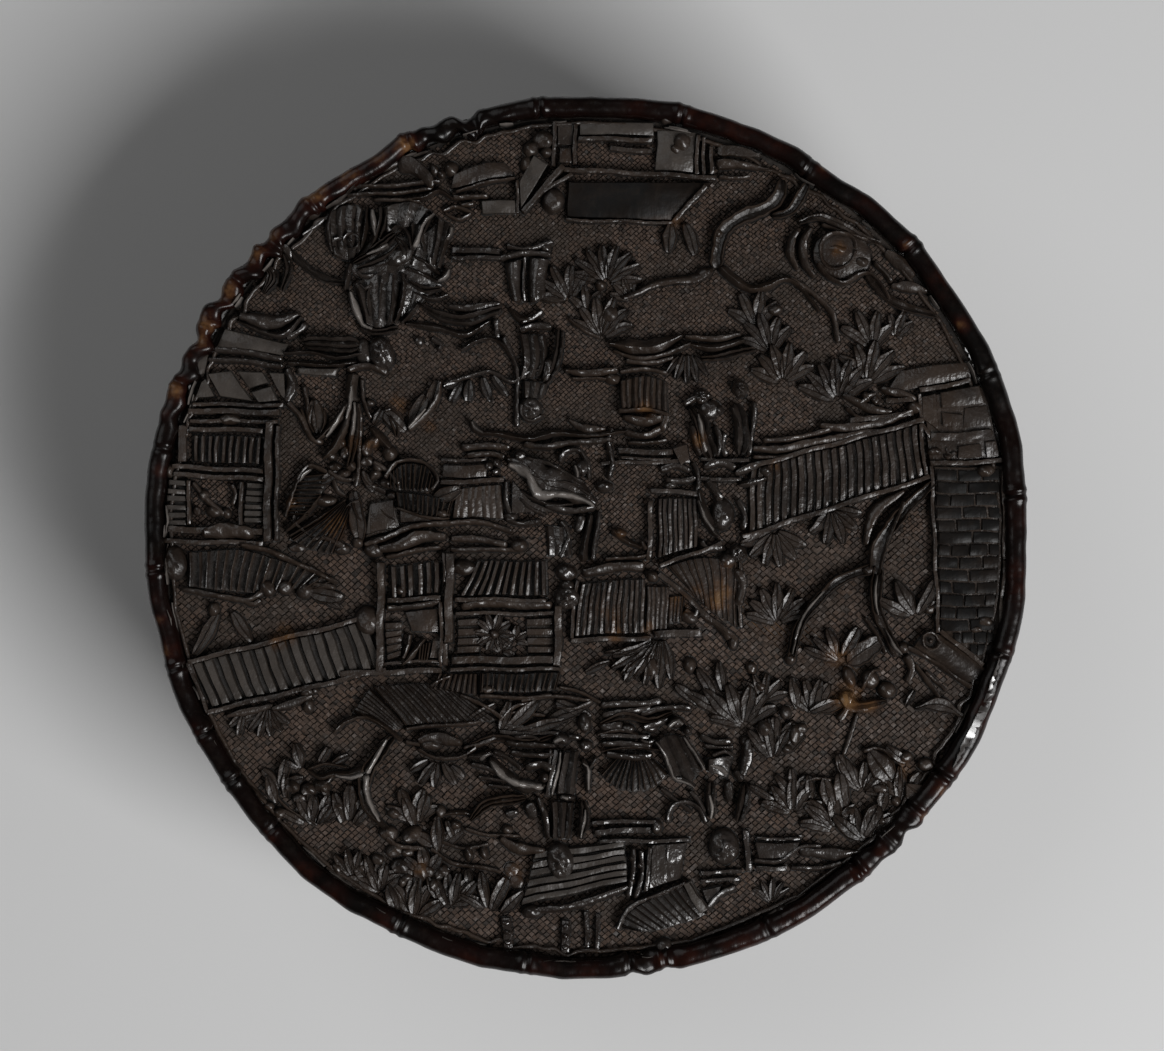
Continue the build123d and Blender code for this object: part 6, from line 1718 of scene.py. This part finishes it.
baseBand = dict(top=16.6 * mm, low=2.55 * mm, repeats=4, inner=40.0 * mm)
baseGarden = dict(
    bark=(
        ((0, 132, 60, 126, 130, 131, 220, 126, 330, 132, 420, 127, 520, 132, 600, 127, 664, 132), 9,
            0.75), ((470, 128, 480, 104, 500, 96, 516, 110, 524, 128), (9, 14, 16, 14, 9), 0.85)),
    trough=(
        ((50, 128, 54, 100, 44, 76, 52, 52, 68, 36), (12, 10, 9, 8, 5), 0.85),
        ((392, 128, 402, 108, 398, 84, 410, 60, 430, 44), (10, 9, 8, 7, 4), 0.85)),
    bead=(
        ((46, 76, 38, 60, 28, 42), (7, 6, 4), 0.75), ((54, 100, 66, 88, 78, 76), (7, 6, 4), 0.75),
        ((400, 92, 384, 78, 376, 60), (6, 5, 4), 0.7), ((486, 120, 498, 108, 508, 120), 5, 0.95),
        ((322, 94, 314, 104, 318, 112), 5, 0.9), ((340, 94, 350, 100, 356, 92), 5, 0.9),
        ((610, 40, 640, 30, 660, 38), (3, 8, 3), 0.5), ((540, 34, 566, 26, 590, 36), (3, 8, 3), 0.5)),
    ridge=(((178, 40, 196, 28, 236, 22, 276, 28, 296, 42), (5, 7, 7, 7, 5), 0.85),),
    threeFolds=(((330, 92, 334, 108, 330, 126), (12, 17, 18), 0.85),),
    twoFolds=(
        ((100, 42, 118, 30, 138, 38, 156, 30), (3, 8, 7, 3), 0.5),
        ((324, 42, 346, 30, 366, 38), (3, 8, 3), 0.5),
        ((472, 52, 492, 42, 512, 50, 532, 42), (3, 8, 7, 3), 0.5),
        ((584, 56, 606, 48, 630, 56), (3, 7, 3), 0.5)),
    bars=(
        (186, 46, 186, 126, 7, 0.75), (286, 46, 286, 126, 7, 0.75), (236, 60, 236, 126, 5, 0.65),
        (182, 60, 290, 60, 5, 0.7), (182, 96, 290, 96, 5, 0.7), (178, 126, 294, 126, 6, 0.75),
        (90, 88, 176, 88, 5, 0.75), (90, 120, 176, 120, 5, 0.7), (540, 86, 664, 86, 5, 0.75),
        (540, 120, 664, 120, 5, 0.7)),
    panels=(
        ((194, 100, 232, 100), (194, 122, 232, 122), 0.55, slatSection(6, 0.35, 0.8)),
        ((240, 100, 282, 100), (240, 122, 282, 122), 0.55, slatSection(6, 0.35, 0.8)),
        ((192, 28, 236, 20, 280, 28), (172, 46, 236, 44, 300, 46), 0.7, ribSection(13, 0.4)),
        ((92, 92, 174, 92), (92, 118, 174, 118), 0.55, slatSection(9, 0.3, 0.8)),
        ((542, 90, 662, 90), (542, 118, 662, 118), 0.55, slatSection(13, 0.3, 0.8))),
    plates=(((244, 66, 280, 66), (244, 92, 280, 92), 0.4),),
    knobs=(
        (498, 92, 10, 7, 0.9), (120, 124, 14, 6, 0.8), (360, 126, 12, 6, 0.8), (450, 124, 9, 7, 0.8),
        (68, 34, 5, 5, 0.7), (212, 76, 10, 9, 0.6), (330, 78, 4, 4, 0.9)),
    heads=((330, 84, 7, 8, 1.0, 90),),
)
baseSprays = dict(
    fans=(
        (70, 38, 80, 170, 7, 24, 9, 0.8), (28, 44, 100, 150, 6, 22, 9, 0.75),
        (78, 76, 60, 150, 6, 22, 9, 0.75), (432, 48, 80, 170, 7, 24, 9, 0.8),
        (376, 62, 120, 150, 6, 22, 9, 0.75), (404, 60, 100, 110, 4, 20, 8, 0.7),
        (120, 84, 90, 140, 6, 26, 9, 0.7), (152, 86, 80, 120, 5, 22, 9, 0.7),
        (580, 84, 95, 150, 7, 30, 10, 0.75), (624, 84, 85, 130, 6, 26, 9, 0.7),
        (452, 118, 90, 130, 5, 20, 8, 0.7), (212, 78, 90, 300, 7, 13, 7, 0.55),
        (500, 88, 90, 150, 6, 24, 9, 0.75), (356, 120, 90, 120, 5, 20, 8, 0.65),
        (18, 124, 90, 120, 5, 20, 8, 0.65), (308, 122, 90, 110, 4, 18, 8, 0.6)),
)
wallLow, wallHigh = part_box("base_wall")
strip = turnedRing(baseBand["inner"], wallRadius, wallLow.z, wallHigh.z)
baseWallStrip = makePiece("baseWallStrip", [strip], asIs, wallShell, "base", crease=30,
                          uneven=0)
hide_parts("base_wall")
place = onWall(wallRadius, baseBand["top"])
makePiece("baseWallGround", [wallPads(baseBand["top"], baseBand["low"], 13)], place, wallShell, "base",
          crease=30, uneven=0)
for name, motif in (("baseWallGarden", baseGarden), ("baseWallSprays", baseSprays)):
    shells = repeated(carve(motif), baseBand["repeats"], around / baseBand["repeats"])
    makePiece(name, shells, place, carvedShell, "base")

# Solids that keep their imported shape
keptSolids = dict(base_plate=polishedShell, base_collar=polishedShell, lid_backing_plate=polishedShell,
                  lid_wall=wallShell)
for nodeName, material in keptSolids.items():
    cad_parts[nodeName].data.materials.clear()
    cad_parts[nodeName].data.materials.append(material)


# Floor, lights and camera
def matte(name, colour):
    # a rough paint with next to no shine
    material = bpy.data.materials.new(name)
    material.use_nodes = True
    shader = material.node_tree.nodes["Principled BSDF"]
    shader.inputs["Base Color"].default_value = (*colour, 1)
    shader.inputs["Roughness"].default_value = 0.9
    shader.inputs["Specular IOR Level"].default_value = 0.1
    return material


studio = dict(floorSize=3.0, floorColour=(0.56, 0.56, 0.56), worldLevel=0.055,
              keyFrom=(0.36, -0.30, 0.46), keySize=0.30, keyPower=5.0,
              fillFrom=(-0.45, 0.35, 0.6), fillSize=0.6, fillPower=1.3)
floorMesh = bpy.data.meshes.new("floor")
s = studio["floorSize"]
floorMesh.from_pydata([(-s, -s, 0), (s, -s, 0), (s, s, 0), (-s, s, 0)], [], [(0, 1, 2, 3)])
floorMesh.materials.append(matte("floorPaper", studio["floorColour"]))
floor = bpy.data.objects.new("floor", floorMesh)
bpy.context.scene.collection.objects.link(floor)


def softbox(name, source, size, power):
    # a square lamp that looks at the origin from its place
    lamp = bpy.data.lights.new(name, "AREA")
    lamp.shape, lamp.size, lamp.energy = "SQUARE", size, power
    box = bpy.data.objects.new(name, lamp)
    box.location = source
    box.rotation_euler = (-Vector(source)).to_track_quat("-Z", "Y").to_euler()
    bpy.context.scene.collection.objects.link(box)


softbox("keyLight", studio["keyFrom"], studio["keySize"], studio["keyPower"])
softbox("fillLight", studio["fillFrom"], studio["fillSize"], studio["fillPower"])
world = bpy.data.worlds.new("studioWorld")
world.use_nodes = True
world.node_tree.nodes["Background"].inputs["Color"].default_value = (*grey(studio["worldLevel"]), 1)
bpy.context.scene.world = world
bpy.context.scene.view_settings.view_transform = "Standard"

# Camera: straight above, a touch from the lower right, framed as the photograph is
shot = dict(imageWide=1164, imageHigh=1051, lens=110.0, sensor=36.0, lean=(0.018, -0.02))
cameraData = bpy.data.cameras.new("camera")
cameraData.lens, cameraData.sensor_width = shot["lens"], shot["sensor"]
camera = bpy.data.objects.new("camera", cameraData)
aim = onLid(np.array([[shot["imageWide"] / 2, shot["imageHigh"] / 2, 1.0]]))[0]
distance = shot["imageWide"] * pixel * shot["lens"] / shot["sensor"]
back = Vector((*shot["lean"], 1.0)).normalized()
right = Vector((0, 1, 0)).cross(back).normalized()
camera.location = Vector(aim) + back * distance
camera.rotation_euler = Matrix((right, back.cross(right), back)).transposed().to_euler()
bpy.context.scene.collection.objects.link(camera)
bpy.context.scene.camera = camera
